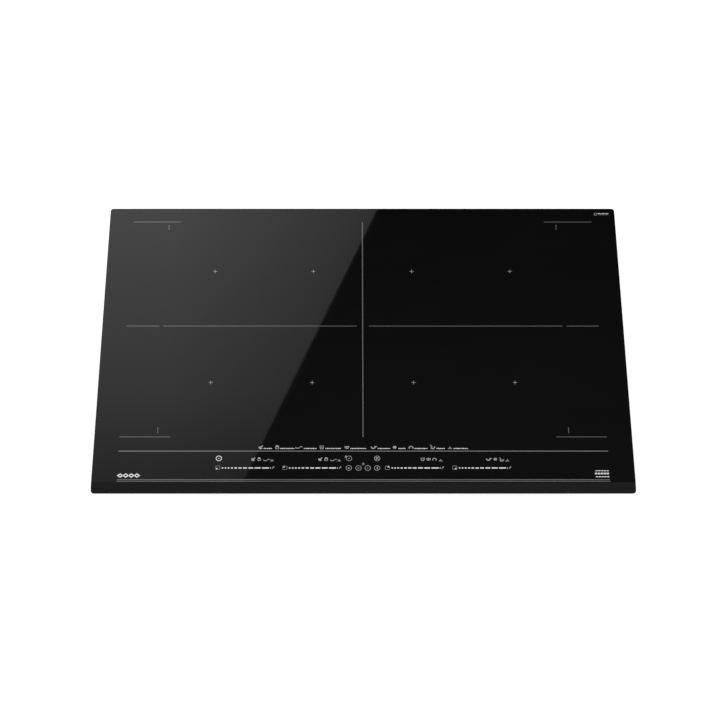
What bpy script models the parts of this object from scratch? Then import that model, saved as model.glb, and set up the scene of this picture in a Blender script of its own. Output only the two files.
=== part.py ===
"""A built-in induction hob: a glass-ceramic top on a steel tray, with eight coils on two sprung
decks, two blowers, power electronics and four worktop clamps.

Metres, +Z up. The origin is under the middle of the glass, on the plane of the tray's underside.
+X runs to the user's right and +Y away from the user, so the touch controls are at -Y.
"""

import math

import bmesh
import bpy
from mathutils import Matrix, Vector

# Driving dimensions
HOB_WIDTH = 0.800
HOB_DEPTH = 0.510
HOB_HEIGHT = 0.059
GLASS_THICK = 0.004
GLASS_CORNER = 0.005
BEVEL_WIDTH = 0.017  # the front edge slopes down over this width
BEVEL_DROP = 0.0025
SHEET = 0.001  # steel sheet of the tray and the frame
GAP = 0.0003  # between pieces that touch

# Levels, from the top down
GLASS_LOW = HOB_HEIGHT - GLASS_THICK
UNDER_GLASS = GLASS_LOW - GAP
SEAL_THICK = 0.0024
BEAD_THICK = 0.0013
FRAME_THICK = 0.0012
FRAME_HIGH = UNDER_GLASS - BEAD_THICK - GAP
FRAME_LOW = FRAME_HIGH - FRAME_THICK
FLANGE_HIGH = FRAME_LOW - GAP
FLANGE_LOW = FLANGE_HIGH - SHEET
MICA_THICK = 0.0005
MICA_LOW = UNDER_GLASS - MICA_THICK
WINDING_THICK = 0.0042
WINDING_HIGH = MICA_LOW - GAP
WINDING_LOW = WINDING_HIGH - WINDING_THICK
FORMER_THICK = 0.0025
FORMER_HIGH = WINDING_LOW - GAP
FORMER_LOW = FORMER_HIGH - FORMER_THICK
DECK_THICK = 0.0015
DECK_HIGH = FORMER_LOW - GAP
DECK_LOW = DECK_HIGH - DECK_THICK

# Rings under the glass: (half width, front edge, back edge) outside and inside
SEAL_RING = ((0.398, -0.253, 0.253), (0.391, -0.246, 0.246))
BEAD_RING = ((0.371, -0.242, 0.242), (0.359, -0.2385, 0.2355))
FRAME_RING = ((0.3735, -0.243, 0.243), (0.356, -0.238, 0.2345))
RING_CORNERS = (0.006, 0.003)

# The tray: a deep well, a shallow front under the controls, and a flange all round
WELL_X = 0.352
WELL_FRONT = -0.200
WELL_BACK = 0.234
SHALLOW_FRONT = -0.236
SHALLOW_FLOOR = 0.030
FLANGE_X = 0.372
FLANGE_FRONT = -0.241
FLANGE_BACK = 0.242
FLANGE_CORNER = 0.006
CARRIER_THICK = 0.002
CARRIER_HIGH = SHEET + GAP + CARRIER_THICK  # top of the plastic sheet that lines the tray
CARRIER_EDGE = (0.345, -0.190, 0.228)  # half width, front, back

# Openings in the tray
INLET_REACH = 0.034  # the inlet slots end on a circle of this radius
INLET_PITCH = 0.010
INLET_WIDE = 0.005
INLET_ROWS = range(-3, 4)
OUTLET_FIRST = 0.150
OUTLET_PITCH = 0.016
OUTLET_WIDE = 0.008
OUTLET_COUNT = 10
OUTLET_LEVELS = (0.006, 0.026)
DOOR_HALF = 0.036
DOOR_LEVELS = (0.014, 0.038)

# The coils: four across and two deep on each hob, two columns to a deck
COIL_X = (0.0767, 0.2298)
COIL_Y = (-0.0668, 0.1352)
DECK_X = (0.003, 0.313)
DECK_Y = (-0.162, 0.230)
HUB_BORE = 0.012
FORMER_HALF = (0.073, 0.090)
FORMER_CORNER = 0.060
WINDOW_HALF = (0.017, 0.026)
WINDOW_CORNER = 0.006
WINDOW_PLACE = (0.038, 0.045)
WINDING_HALF = (0.070, 0.087)
WINDING_CORNER = 0.058
CORE_HALF = (0.024, 0.041)
CORE_CORNER = 0.021
SENSOR_CAP = 0.0016
SENSOR_RADII = (0.0090, 0.0100, 0.0060)  # the cap's top and rim, and the stem

# Cooling and electronics, measured on the right half; the left half mirrors it
FAN_X = 0.240
FAN_Y = 0.145
FAN_REACH = 0.057  # from the blower's axis to the mouth of its duct
FAN_HIGH = 0.038
CAVITY_RADIUS = 0.050
INLET_RADIUS = 0.036
ROTOR_RADIUS = 0.043
HUB_RADIUS = 0.016
ROTOR_BORE = 0.0027
ROTOR_HALF_TALL = 0.0095
ROTOR_Z = 0.0180
MOTOR_RADIUS = 0.013
MOTOR_LOW = 0.0285
AXLE_RADIUS = 0.0024
BLADES = 16
BOARD_LOW = 0.0083
PCB = 0.0016
POST_RADIUS = 0.003
POWER_POSTS = ((0.138, -0.160), (0.282, -0.160), (0.138, 0.065), (0.282, 0.065))
FILTER_POSTS = ((0.052, -0.045), (0.052, 0.105))
POWER_BOARD = ((0.130, 0.290), (-0.170, 0.075))
POWER_PARTS = (  # x range, y range, top
    ((0.140, 0.165), (-0.150, -0.110), 0.034),
    ((0.140, 0.165), (-0.095, -0.055), 0.034),
    ((0.172, 0.190), (-0.150, -0.085), 0.028),
    ((0.142, 0.188), (-0.035, 0.015), 0.030),
    ((0.145, 0.180), (0.030, 0.050), 0.022),
    ((0.270, 0.284), (-0.120, 0.020), 0.020),
)
FILTER_BOARD = ((-0.060, 0.060), (-0.055, 0.115))
FILTER_PARTS = (
    ((-0.045, -0.015), (0.060, 0.095), 0.036),
    ((0.005, 0.035), (0.060, 0.095), 0.036),
    ((-0.045, -0.018), (0.010, 0.030), 0.028),
    ((0.000, 0.027), (0.010, 0.030), 0.028),
    ((-0.045, 0.045), (-0.045, -0.035), 0.018),
)
CHOKE_PLACE = (0.026, -0.012)
CHOKE_RADIUS = 0.013
CHOKE_HIGH = 0.027
SINK_LEFT = 0.200
SINK_Y = (-0.150, 0.070)
SINK_HIGH = 0.038
SINK_BASE = 0.005
FINS = 9
FIN_PITCH = 0.0075
FIN_THICK = 0.0022

# Deck springs: an arch along Y
SPRING_X = (0.080, 0.304)
SPRING_Y = 0.030
SPRING_HALF_WIDE = 0.006
SPRING_THICK = 0.0008
SPRING_FOOT = (0.062, 0.048)  # a foot runs between these distances from the middle
SPRING_CROWN = 0.014

# Touch controls
TOUCH_BOARD = ((-0.226, 0.226), (-0.231, -0.171))
TOUCH_CARRIER = ((-0.234, 0.234), (-0.2345, -0.167))
TOUCH_HOLLOW = ((-0.223, 0.223), (-0.228, -0.174))
CHIP_X = (-0.150, 0.0, 0.150)
CHIP_Y = (-0.200, -0.186)
CHIP_HALF = 0.007
CHIP_THICK = 0.002

# Connection, lid and clamps
TERMINAL_X = 0.095
BLOCK_HALF = 0.033
BLOCK_Y = (0.204, 0.227)
BLOCK_HIGH = 0.030
WAYS = 5
WAY_PITCH = 0.0125
LID_HALF = 0.044
LID_TALL = 0.031
LID_THICK = 0.003
LID_AXIS_Y = 0.2375
LID_AXIS_Z = 0.0435
LUG_GAP = 0.0035  # from the lid's end to the middle of a lug
LUG_THICK = 0.004
LUG_HALF = 0.004
LUG_BORE = 0.0017
BARREL_RADIUS = 0.0024
PIN_RADIUS = 0.0014
PIN_HALF = 0.049
GRIP_X = 0.025
GRIP_Z = 0.020
GRIP_BORE = 0.0083  # in the tray's wall
GRIP_RADII = (0.0110, 0.0080, 0.0055)  # head, neck and cord hole
GRIP_HEAD = 0.0030
GRIP_NECK = 0.0120
CLAMP_X = 0.363
CLAMP_Y = 0.130
CLAMP_REACH = 0.034
CLAMP_HALF_WIDE = 0.0065
CLAMP_THICK = 0.004
CLAMP_TOOTH = 0.005
SCREW_RADIUS = 0.003
SCREW_HEAD_HIGH = 0.013
SCREW_HEAD_THICK = 0.004
SCREW_HEAD_RADIUS = 0.0055

SIDES = (("left", -1), ("right", 1))


def start_scene():
    """Empties the scene and returns the collections for the parts and for the cutters."""
    for obj in list(bpy.data.objects):
        bpy.data.objects.remove(obj, do_unlink=True)
    parts = bpy.data.collections.new("induction_hob")
    cutters = bpy.data.collections.new("cutters")
    cutters.hide_render = True
    for collection in (parts, cutters):
        bpy.context.scene.collection.children.link(collection)
    return parts, cutters


PARTS, CUTTERS = start_scene()


def material(name, colour, roughness, metallic=0.0):
    made = bpy.data.materials.new(name)
    made.use_nodes = True
    shader = made.node_tree.nodes["Principled BSDF"]
    shader.inputs["Base Color"].default_value = (*colour, 1.0)
    shader.inputs["Roughness"].default_value = roughness
    shader.inputs["Metallic"].default_value = metallic
    return made


BLACK_GLASS = material("black_glass_ceramic", (0.006, 0.006, 0.007), 0.08)
FOAM = material("seal_foam", (0.03, 0.03, 0.03), 0.95)
SILICONE = material("silicone_adhesive", (0.05, 0.05, 0.05), 0.6)
ZINC_STEEL = material("zinc_coated_steel", (0.56, 0.57, 0.58), 0.38, 1.0)
ALUMINIUM = material("deck_aluminium", (0.78, 0.79, 0.80), 0.35, 1.0)
MICA = material("mica", (0.62, 0.55, 0.42), 0.5)
LITZ = material("copper_litz", (0.72, 0.36, 0.20), 0.4, 1.0)
SPRING_STEEL = material("spring_steel", (0.45, 0.45, 0.46), 0.3, 1.0)
GREEN_BOARD = material("circuit_board", (0.02, 0.16, 0.07), 0.45)
BLACK_PLASTIC = material("black_plastic", (0.02, 0.02, 0.021), 0.5)
WHITE_PLASTIC = material("white_plastic", (0.72, 0.71, 0.68), 0.5)


def add(name, bm, finish=None, collection=None):
    """Turns a bmesh into an object; without a finish it is a cutter or a piece to be joined."""
    mesh = bpy.data.meshes.new(name)
    bm.to_mesh(mesh)
    bm.free()
    obj = bpy.data.objects.new(name, mesh)
    if finish is None:
        obj.hide_render = True
        obj.display_type = "WIRE"
    else:
        mesh.materials.append(finish)
    (collection or (CUTTERS if finish is None else PARTS)).objects.link(obj)
    return obj


def box(name, low, high, finish=None):
    """A box between two corners."""
    low, high = Vector(low), Vector(high)
    bm = bmesh.new()
    place = Matrix.Translation((low + high) / 2) @ Matrix.Diagonal((*(high - low), 1.0))
    bmesh.ops.create_cube(bm, size=1.0, matrix=place)
    return add(name, bm, finish)


def rod(name, centre, radius, low, high, sides=12, finish=None):
    """An upright cylinder through centre (x, y), from one level to another."""
    bm = bmesh.new()
    place = Matrix.Translation((centre[0], centre[1], (low + high) / 2))
    bmesh.ops.create_cone(bm, cap_ends=True, segments=sides, radius1=radius, radius2=radius,
                          depth=high - low, matrix=place)
    return add(name, bm, finish)


def rounded(half_x, half_y, radius, centre=(0.0, 0.0), steps=3):
    """The outline of a rectangle with round corners, anticlockwise."""
    points = []
    for corner in range(4):
        sign_x = (1, -1, -1, 1)[corner]
        sign_y = (1, 1, -1, -1)[corner]
        middle_x = centre[0] + sign_x * (half_x - radius)
        middle_y = centre[1] + sign_y * (half_y - radius)
        for step in range(steps + 1):
            angle = (corner + step / steps) * math.pi / 2
            points.append((middle_x + radius * math.cos(angle), middle_y + radius * math.sin(angle)))
    return points


def circle(radius, centre=(0.0, 0.0), steps=12):
    turns = [2 * math.pi * step / steps for step in range(steps)]
    return [(centre[0] + radius * math.cos(a), centre[1] + radius * math.sin(a)) for a in turns]


def plate(name, outlines, low, high, finish=None):
    """A flat outline, with any holes, filled as a 2D curve and made a mesh between two levels."""
    curve = bpy.data.curves.new(name, "CURVE")
    curve.dimensions = "2D"
    curve.fill_mode = "BOTH"
    curve.extrude = (high - low) / 2
    for outline in outlines:
        spline = curve.splines.new("POLY")
        spline.points.add(len(outline) - 1)
        for point, (x, y) in zip(spline.points, outline):
            point.co = (x, y, 0.0, 1.0)
        spline.use_cyclic_u = True
    drawn = bpy.data.objects.new(name + "_outline", curve)
    CUTTERS.objects.link(drawn)
    graph = bpy.context.evaluated_depsgraph_get()
    mesh = bpy.data.meshes.new_from_object(drawn.evaluated_get(graph))
    bm = bmesh.new()
    bm.from_mesh(mesh)
    bmesh.ops.remove_doubles(bm, verts=bm.verts, dist=1e-6)
    bmesh.ops.translate(bm, verts=bm.verts, vec=(0.0, 0.0, (low + high) / 2))
    bpy.data.objects.remove(drawn, do_unlink=True)
    bpy.data.meshes.remove(mesh)
    return add(name, bm, finish)


def turned(name, profile, centre, finish, sides=12):
    """A solid turned about Z through centre; profile is (radius, z) down its outer side."""
    bm = bmesh.new()
    points = [bm.verts.new((radius, 0.0, level)) for radius, level in profile]
    for start, end in zip(points, points[1:]):
        bm.edges.new((start, end))
    if profile[0][0] > 0.0:
        bm.edges.new((points[-1], points[0]))
    obj = add(name, bm, finish)
    obj.location = centre
    screw = obj.modifiers.new("turn", "SCREW")
    screw.steps = sides
    screw.render_steps = sides
    screw.use_merge_vertices = True
    screw.merge_threshold = 0.00005
    screw.use_smooth_shade = True
    return obj


def combine(obj, others, operation):
    """Joins or cuts obj with other closed meshes, one Boolean for each."""
    for number, other in enumerate(others):
        step = obj.modifiers.new(f"{operation.lower()}_{number}", "BOOLEAN")
        step.operation = operation
        step.object = other
    return obj


def cut(obj, *others):
    return combine(obj, others, "DIFFERENCE")


def join(obj, *others):
    return combine(obj, others, "UNION")


def one_mesh(name, boxes):
    """Several boxes that stay clear of each other, as one cutter."""
    bm = bmesh.new()
    for low, high in boxes:
        low, high = Vector(low), Vector(high)
        place = Matrix.Translation((low + high) / 2) @ Matrix.Diagonal((*(high - low), 1.0))
        bmesh.ops.create_cube(bm, size=1.0, matrix=place)
    return add(name, bm)


def mirrored_box(name, side, x_range, y_range, z_range, finish=None):
    """A box given for the right half, put on the side asked for."""
    x_low, x_high = sorted(side * x for x in x_range)
    return box(name, (x_low, y_range[0], z_range[0]), (x_high, y_range[1], z_range[1]), finish)


# The top and what it rests on


def make_glass():
    outline = rounded(HOB_WIDTH / 2, HOB_DEPTH / 2, GLASS_CORNER)
    glass = plate("glass_top", [outline], GLASS_LOW, HOB_HEIGHT, BLACK_GLASS)
    slope = math.atan2(BEVEL_DROP, BEVEL_WIDTH)
    wedge = box("front_bevel_cutter", (-HOB_WIDTH, -4 * BEVEL_WIDTH, 0.0), (HOB_WIDTH, 0.0, 0.02))
    wedge.location = (0.0, BEVEL_WIDTH - HOB_DEPTH / 2, HOB_HEIGHT)
    wedge.rotation_euler.x = slope
    cut(glass, wedge)


def ring(name, edges, low, high, finish):
    """A flat rectangular ring; edges are its outer and inner (half width, front, back)."""
    outlines = []
    for (edge_x, front, back), radius in zip(edges, RING_CORNERS):
        outlines.append(rounded(edge_x, (back - front) / 2, radius, (0.0, (front + back) / 2), 2))
    return plate(name, outlines, low, high, finish)


def make_seal_and_frame():
    ring("perimeter_seal", SEAL_RING, UNDER_GLASS - SEAL_THICK, UNDER_GLASS, FOAM)
    ring("adhesive_bead", BEAD_RING, UNDER_GLASS - BEAD_THICK, UNDER_GLASS, SILICONE)
    ring("glass_frame", FRAME_RING, FRAME_LOW, FRAME_HIGH, ZINC_STEEL)


# The tray


def tray_shell():
    """The well and the shallow front as one solid, hollowed to leave one sheet's thickness."""
    outside = box("base_tray", (-WELL_X, WELL_FRONT, 0.0), (WELL_X, WELL_BACK, FLANGE_HIGH), ZINC_STEEL)
    front = box("tray_front", (-WELL_X, SHALLOW_FRONT, SHALLOW_FLOOR),
                (WELL_X, WELL_FRONT + 0.01, FLANGE_HIGH))
    flange_outline = rounded(FLANGE_X, (FLANGE_BACK - FLANGE_FRONT) / 2, FLANGE_CORNER,
                             (0.0, (FLANGE_BACK + FLANGE_FRONT) / 2), 2)
    flange = plate("tray_flange", [flange_outline], FLANGE_LOW, FLANGE_HIGH)
    join(outside, front, flange)
    above = FLANGE_HIGH + 0.01
    hollow = box("tray_hollow", (SHEET - WELL_X, WELL_FRONT + SHEET, SHEET),
                 (WELL_X - SHEET, WELL_BACK - SHEET, above))
    front_hollow = box("tray_front_hollow", (SHEET - WELL_X, SHALLOW_FRONT + SHEET, SHALLOW_FLOOR + SHEET),
                       (WELL_X - SHEET, WELL_FRONT + 0.01, above))
    return cut(outside, hollow, front_hollow)


def vent_boxes():
    """Slots in the floor under each blower, and in the step wall in front of each heatsink."""
    slots = []
    for side in (-1, 1):
        for row in INLET_ROWS:
            offset = row * INLET_PITCH
            half = math.sqrt(INLET_REACH ** 2 - offset ** 2)
            slots.append(((side * FAN_X - half, FAN_Y + offset - INLET_WIDE / 2, -0.01),
                          (side * FAN_X + half, FAN_Y + offset + INLET_WIDE / 2, 0.01)))
        for column in range(OUTLET_COUNT):
            x = side * (OUTLET_FIRST + column * OUTLET_PITCH)
            slots.append(((x - OUTLET_WIDE / 2, WELL_FRONT - 0.005, OUTLET_LEVELS[0]),
                          (x + OUTLET_WIDE / 2, WELL_FRONT + 0.005, OUTLET_LEVELS[1])))
    return slots


def make_tray():
    tray = tray_shell()
    axis_lugs = []
    for end in (-1, 1):
        x = TERMINAL_X + end * (LID_HALF + LUG_GAP)
        axis_lugs.append(box("lid_lug", (x - LUG_THICK / 2, WELL_BACK - SHEET / 2, LID_AXIS_Z - LUG_HALF),
                             (x + LUG_THICK / 2, LID_AXIS_Y + LID_THICK, LID_AXIS_Z + LUG_HALF)))
    join(tray, *axis_lugs)
    lid_bore = rod("lid_bore_cutter", (0.0, 0.0), LUG_BORE, -0.06, 0.06, 8)
    lid_bore.location = (TERMINAL_X, LID_AXIS_Y, LID_AXIS_Z)
    lid_bore.rotation_euler.y = math.pi / 2
    grip_bore = rod("grip_bore_cutter", (0.0, 0.0), GRIP_BORE, -0.02, 0.02, 12)
    grip_bore.location = (GRIP_X, WELL_BACK, GRIP_Z)
    grip_bore.rotation_euler.x = math.pi / 2
    door = box("terminal_opening", (TERMINAL_X - DOOR_HALF, WELL_BACK - 0.01, DOOR_LEVELS[0]),
               (TERMINAL_X + DOOR_HALF, WELL_BACK + SHEET / 2, DOOR_LEVELS[1]))
    cut(tray, one_mesh("vent_cutters", vent_boxes()), lid_bore, grip_bore, door)
    for side in (-1, 1):
        for end in (-1, 1):
            place = (side * CLAMP_X, end * CLAMP_Y)
            cut(tray, rod("clamp_hole_cutter", place, SCREW_RADIUS + GAP, 0.045, 0.06, 10))


def make_carrier():
    """The plastic sheet that insulates the boards from the tray, with a post at each board corner."""
    low = SHEET + GAP
    half_width, front, back = CARRIER_EDGE
    sheet = box("electronics_carrier", (-half_width, front, low), (half_width, back, CARRIER_HIGH),
                WHITE_PLASTIC)
    for side in (-1, 1):
        cut(sheet, rod("inlet_cutter", (side * FAN_X, FAN_Y), INLET_RADIUS, -0.01, 0.02, 20))
        for x, y in (*POWER_POSTS, *FILTER_POSTS):
            join(sheet, rod("board_post", (side * x, y), POST_RADIUS, low + CARRIER_THICK / 4,
                            BOARD_LOW - GAP, 6))


# The coil decks


def make_deck(side_name, side):
    mirrored_box(f"deck_plate_{side_name}", side, DECK_X, DECK_Y, (DECK_LOW, DECK_HIGH), ALUMINIUM)
    mirrored_box(f"mica_sheet_{side_name}", side, DECK_X, DECK_Y, (MICA_LOW, UNDER_GLASS), MICA)
    for where, x in zip(("inner", "outer"), SPRING_X):
        make_leaf_spring(f"deck_spring_{side_name}_{where}", side * x)


def make_leaf_spring(name, x):
    """A strip bent into an arch: two feet on the carrier and a flat crown under the deck."""
    foot = CARRIER_HIGH + GAP
    crown = DECK_LOW - GAP - SPRING_THICK
    far, near = SPRING_FOOT
    path = [(-far, foot), (-near, foot), (-SPRING_CROWN, crown),
            (SPRING_CROWN, crown), (near, foot), (far, foot)]
    bm = bmesh.new()
    rows = []
    for y, z in path:
        rows.append([bm.verts.new((x + end * SPRING_HALF_WIDE, SPRING_Y + y, z)) for end in (-1, 1)])
    for (a, b), (c, d) in zip(rows, rows[1:]):
        bm.faces.new((a, b, d, c))
    spring = add(name, bm, SPRING_STEEL)
    solid = spring.modifiers.new("strip", "SOLIDIFY")
    solid.thickness = SPRING_THICK
    solid.offset = 1.0
    solid.use_even_offset = True


def make_coil(number, x, y):
    windows = []
    for quarter_x in (-1, 1):
        for quarter_y in (-1, 1):
            place = (x + quarter_x * WINDOW_PLACE[0], y + quarter_y * WINDOW_PLACE[1])
            windows.append(rounded(*WINDOW_HALF, WINDOW_CORNER, place, 1))
    outer = rounded(*FORMER_HALF, FORMER_CORNER, (x, y), 5)
    hub = circle(HUB_BORE, (x, y), 12)
    plate(f"coil_former_{number}", [outer, hub, *windows], FORMER_LOW, FORMER_HIGH, BLACK_PLASTIC)
    edge = rounded(*WINDING_HALF, WINDING_CORNER, (x, y), 5)
    core = rounded(*CORE_HALF, CORE_CORNER, (x, y), 5)
    plate(f"coil_winding_{number}", [edge, core], WINDING_LOW, WINDING_HIGH, LITZ)
    top, rim, stem = SENSOR_RADII
    cap_low = WINDING_HIGH - SENSOR_CAP
    profile = [(0.0, WINDING_HIGH), (top, WINDING_HIGH), (rim, cap_low), (stem, cap_low),
               (stem, DECK_HIGH + GAP), (0.0, DECK_HIGH + GAP)]
    turned(f"temperature_sensor_{number}", profile, (x, y, 0.0), WHITE_PLASTIC, 12)


def make_coils():
    number = 0
    for y in reversed(COIL_Y):
        for x in (-COIL_X[1], -COIL_X[0], COIL_X[0], COIL_X[1]):
            number += 1
            make_coil(number, x, y)


# Cooling and electronics


def blower_box(name, x, half, front, back, low, high, finish=None):
    return box(name, (x - half, FAN_Y + front, low), (x + half, FAN_Y + back, high), finish)


def make_blower(side_name, side):
    """A round housing with a duct in front: the inlet is below, and the motor hangs from its roof."""
    low = CARRIER_HIGH + GAP
    x = side * FAN_X
    wall = 0.002
    duct_half = 0.042
    housing = rod(f"fan_housing_{side_name}", (x, FAN_Y), CAVITY_RADIUS + wall, low, FAN_HIGH, 28,
                  BLACK_PLASTIC)
    duct = blower_box("blower_duct", x, duct_half, -FAN_REACH, -0.020, low, FAN_HIGH)
    chamber = rod("blower_chamber", (x, FAN_Y), CAVITY_RADIUS, low + wall, FAN_HIGH - wall, 28)
    outlet = blower_box("blower_outlet", x, duct_half - wall, -FAN_REACH - 0.01, -0.022,
                        low + wall, FAN_HIGH - wall)
    inlet = rod("blower_inlet", (x, FAN_Y), INLET_RADIUS, low - 0.01, low + 0.01, 20)
    cut(join(housing, duct), chamber, outlet, inlet)
    motor = rod("blower_motor", (x, FAN_Y), MOTOR_RADIUS, MOTOR_LOW, FAN_HIGH - wall / 2, 16)
    axle = rod("blower_axle", (x, FAN_Y), AXLE_RADIUS, 0.0100, MOTOR_LOW + wall, 8)
    join(housing, motor, axle)
    rotor = plate(f"fan_rotor_{side_name}", [blade_outline(), circle(ROTOR_BORE, steps=8)],
                  -ROTOR_HALF_TALL, ROTOR_HALF_TALL, BLACK_PLASTIC)
    rotor.location = (x, FAN_Y, ROTOR_Z)


def blade_outline():
    """A hub with straight blades that stand out from it."""
    root = 0.10  # half a blade's width at the hub and at its tip, as a share of the pitch
    tip = 0.035
    outline = []
    for blade in range(BLADES):
        for offset, radius in ((-root, HUB_RADIUS), (-tip, ROTOR_RADIUS), (tip, ROTOR_RADIUS),
                               (root, HUB_RADIUS)):
            angle = 2 * math.pi * (blade + offset) / BLADES
            outline.append((radius * math.cos(angle), radius * math.sin(angle)))
    return outline


def make_power_board(side_name, side):
    board = mirrored_box(f"power_board_{side_name}", side, *POWER_BOARD, (BOARD_LOW, BOARD_LOW + PCB),
                         GREEN_BOARD)
    low = BOARD_LOW + PCB / 2
    join(board, *[mirrored_box("board_part", side, x_range, y_range, (low, high))
                  for x_range, y_range, high in POWER_PARTS])


def make_heatsink(side_name, side):
    """An extruded comb: a base with upright fins that run along the air stream."""
    low = BOARD_LOW + PCB + GAP
    base_high = low + SINK_BASE
    right = SINK_LEFT + (FINS - 1) * FIN_PITCH + FIN_THICK
    outline = [(SINK_LEFT, low), (right, low)]
    for number in reversed(range(FINS)):
        x = SINK_LEFT + number * FIN_PITCH
        outline += [(x + FIN_THICK, SINK_HIGH), (x, SINK_HIGH)]
        if number:
            outline += [(x, base_high), (x - FIN_PITCH + FIN_THICK, base_high)]
    front, back = SINK_Y
    comb = plate(f"heatsink_{side_name}", [outline], -back, -front, ALUMINIUM)
    comb.rotation_euler.x = math.pi / 2
    comb.location.x = 0.0 if side > 0 else -SINK_LEFT - right


def make_filter_board():
    (left, right), (front, back) = FILTER_BOARD
    board = box("filter_board", (left, front, BOARD_LOW), (right, back, BOARD_LOW + PCB), GREEN_BOARD)
    low = BOARD_LOW + PCB / 2
    join(board, *[box("filter_part", (x_low, y_low, low), (x_high, y_high, high))
                  for (x_low, x_high), (y_low, y_high), high in FILTER_PARTS])
    for side in (-1, 1):
        place = (side * CHOKE_PLACE[0], CHOKE_PLACE[1])
        join(board, rod("filter_choke", place, CHOKE_RADIUS, low, CHOKE_HIGH, 14))


def make_touch_controls():
    touch_low = UNDER_GLASS - PCB
    (left, right), (front, back) = TOUCH_BOARD
    board = box("touch_board", (left, front, touch_low), (right, back, UNDER_GLASS), GREEN_BOARD)
    join(board, *[box("touch_chip", (x - CHIP_HALF, CHIP_Y[0], touch_low - CHIP_THICK),
                      (x + CHIP_HALF, CHIP_Y[1], touch_low + PCB / 2)) for x in CHIP_X])
    wall = 0.002
    low = SHALLOW_FLOOR + SHEET + GAP
    high = touch_low - GAP
    (left, right), (front, back) = TOUCH_CARRIER
    carrier = box("touch_board_carrier", (left, front, low), (right, back, high), WHITE_PLASTIC)
    (left, right), (front, back) = TOUCH_HOLLOW
    cut(carrier, box("touch_carrier_hollow", (left, front, low + wall), (right, back, high + 0.01)))


# Mains connection


def make_connection():
    low = CARRIER_HIGH + GAP
    front, back = BLOCK_Y
    block = box("terminal_block", (TERMINAL_X - BLOCK_HALF, front, low),
                (TERMINAL_X + BLOCK_HALF, back, BLOCK_HIGH), BLACK_PLASTIC)
    bays = []
    for way in range(WAYS):
        x = TERMINAL_X + (way - (WAYS - 1) / 2) * WAY_PITCH
        bays.append(((x - 0.0045, back - 0.010, 0.012), (x + 0.0045, back + 0.003, 0.024)))
        bays.append(((x - 0.0030, front + 0.002, 0.026), (x + 0.0030, front + 0.008, 0.032)))
    cut(block, one_mesh("terminal_bays", bays))

    hang = 0.001  # the plate starts this far below the axis
    lid = plate("terminal_lid", [rounded(LID_HALF, LID_TALL / 2, 0.003, (0.0, -LID_TALL / 2 - hang), 2)],
                -LID_THICK, 0.0, BLACK_PLASTIC)
    barrel = rod("lid_barrel", (0.0, 0.0), BARREL_RADIUS, -LID_HALF, LID_HALF, 12)
    pin = rod("lid_pin", (0.0, 0.0), PIN_RADIUS, -PIN_HALF, PIN_HALF, 8)
    tab_low = -LID_TALL - hang - 0.0015
    tab = box("lid_tab", (-0.010, tab_low, -0.0024), (0.010, tab_low + 0.0035, -0.0006))
    for piece in (barrel, pin):
        piece.rotation_euler.y = math.pi / 2
        piece.parent = lid
    tab.parent = lid
    join(lid, barrel, pin, tab)
    lid.location = (TERMINAL_X, LID_AXIS_Y, LID_AXIS_Z)
    lid.rotation_euler.x = math.pi / 2

    head, neck, hole = GRIP_RADII
    profile = [(head, GRIP_HEAD), (head, GAP), (neck, GAP), (neck, -GRIP_NECK),
               (hole, -GRIP_NECK), (hole, GRIP_HEAD)]
    grip = turned("cord_grip", profile, (GRIP_X, WELL_BACK, GRIP_Z), BLACK_PLASTIC, 16)
    grip.rotation_euler.x = -math.pi / 2


# Worktop clamps


def make_clamp(name, x, y):
    """An arm that swings out under the worktop, on a screw that hangs from the tray's flange."""
    arm_low = SCREW_HEAD_HIGH + GAP
    arm_high = arm_low + CLAMP_THICK
    outline = rounded(CLAMP_HALF_WIDE, (CLAMP_REACH + CLAMP_HALF_WIDE) / 2, 0.0060,
                      (0.0, (CLAMP_HALF_WIDE - CLAMP_REACH) / 2), 3)
    bore = circle(SCREW_RADIUS + GAP, steps=10)
    arm = plate(f"clamp_arm_{name}", [outline, bore], arm_low, arm_high, ZINC_STEEL)
    tip = box("clamp_tip", (-0.0055, -CLAMP_REACH + 0.002, arm_high - 0.001),
              (0.0055, -CLAMP_REACH + 0.006, arm_high + CLAMP_TOOTH))
    tip.parent = arm
    join(arm, tip)
    arm.location = (x, y, 0.0)
    head_low = SCREW_HEAD_HIGH - SCREW_HEAD_THICK
    profile = [(0.0, FLANGE_HIGH), (SCREW_RADIUS, FLANGE_HIGH), (SCREW_RADIUS, SCREW_HEAD_HIGH),
               (SCREW_HEAD_RADIUS, SCREW_HEAD_HIGH), (SCREW_HEAD_RADIUS, head_low), (0.0, head_low)]
    turned(f"clamp_screw_{name}", profile, (x, y, 0.0), SPRING_STEEL, 10)


def shade_round_pieces():
    for obj in PARTS.objects:
        obj.data.shade_smooth()
        obj.data.set_sharp_from_angle(angle=math.radians(35))


make_glass()
make_seal_and_frame()
make_tray()
make_carrier()
for SIDE_NAME, SIDE in SIDES:
    make_deck(SIDE_NAME, SIDE)
    make_blower(SIDE_NAME, SIDE)
    make_power_board(SIDE_NAME, SIDE)
    make_heatsink(SIDE_NAME, SIDE)
    for END_NAME, END in (("front", -1), ("back", 1)):
        make_clamp(f"{SIDE_NAME}_{END_NAME}", SIDE * CLAMP_X, END * CLAMP_Y)
make_coils()
make_filter_board()
make_touch_controls()
make_connection()
shade_round_pieces()
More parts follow.
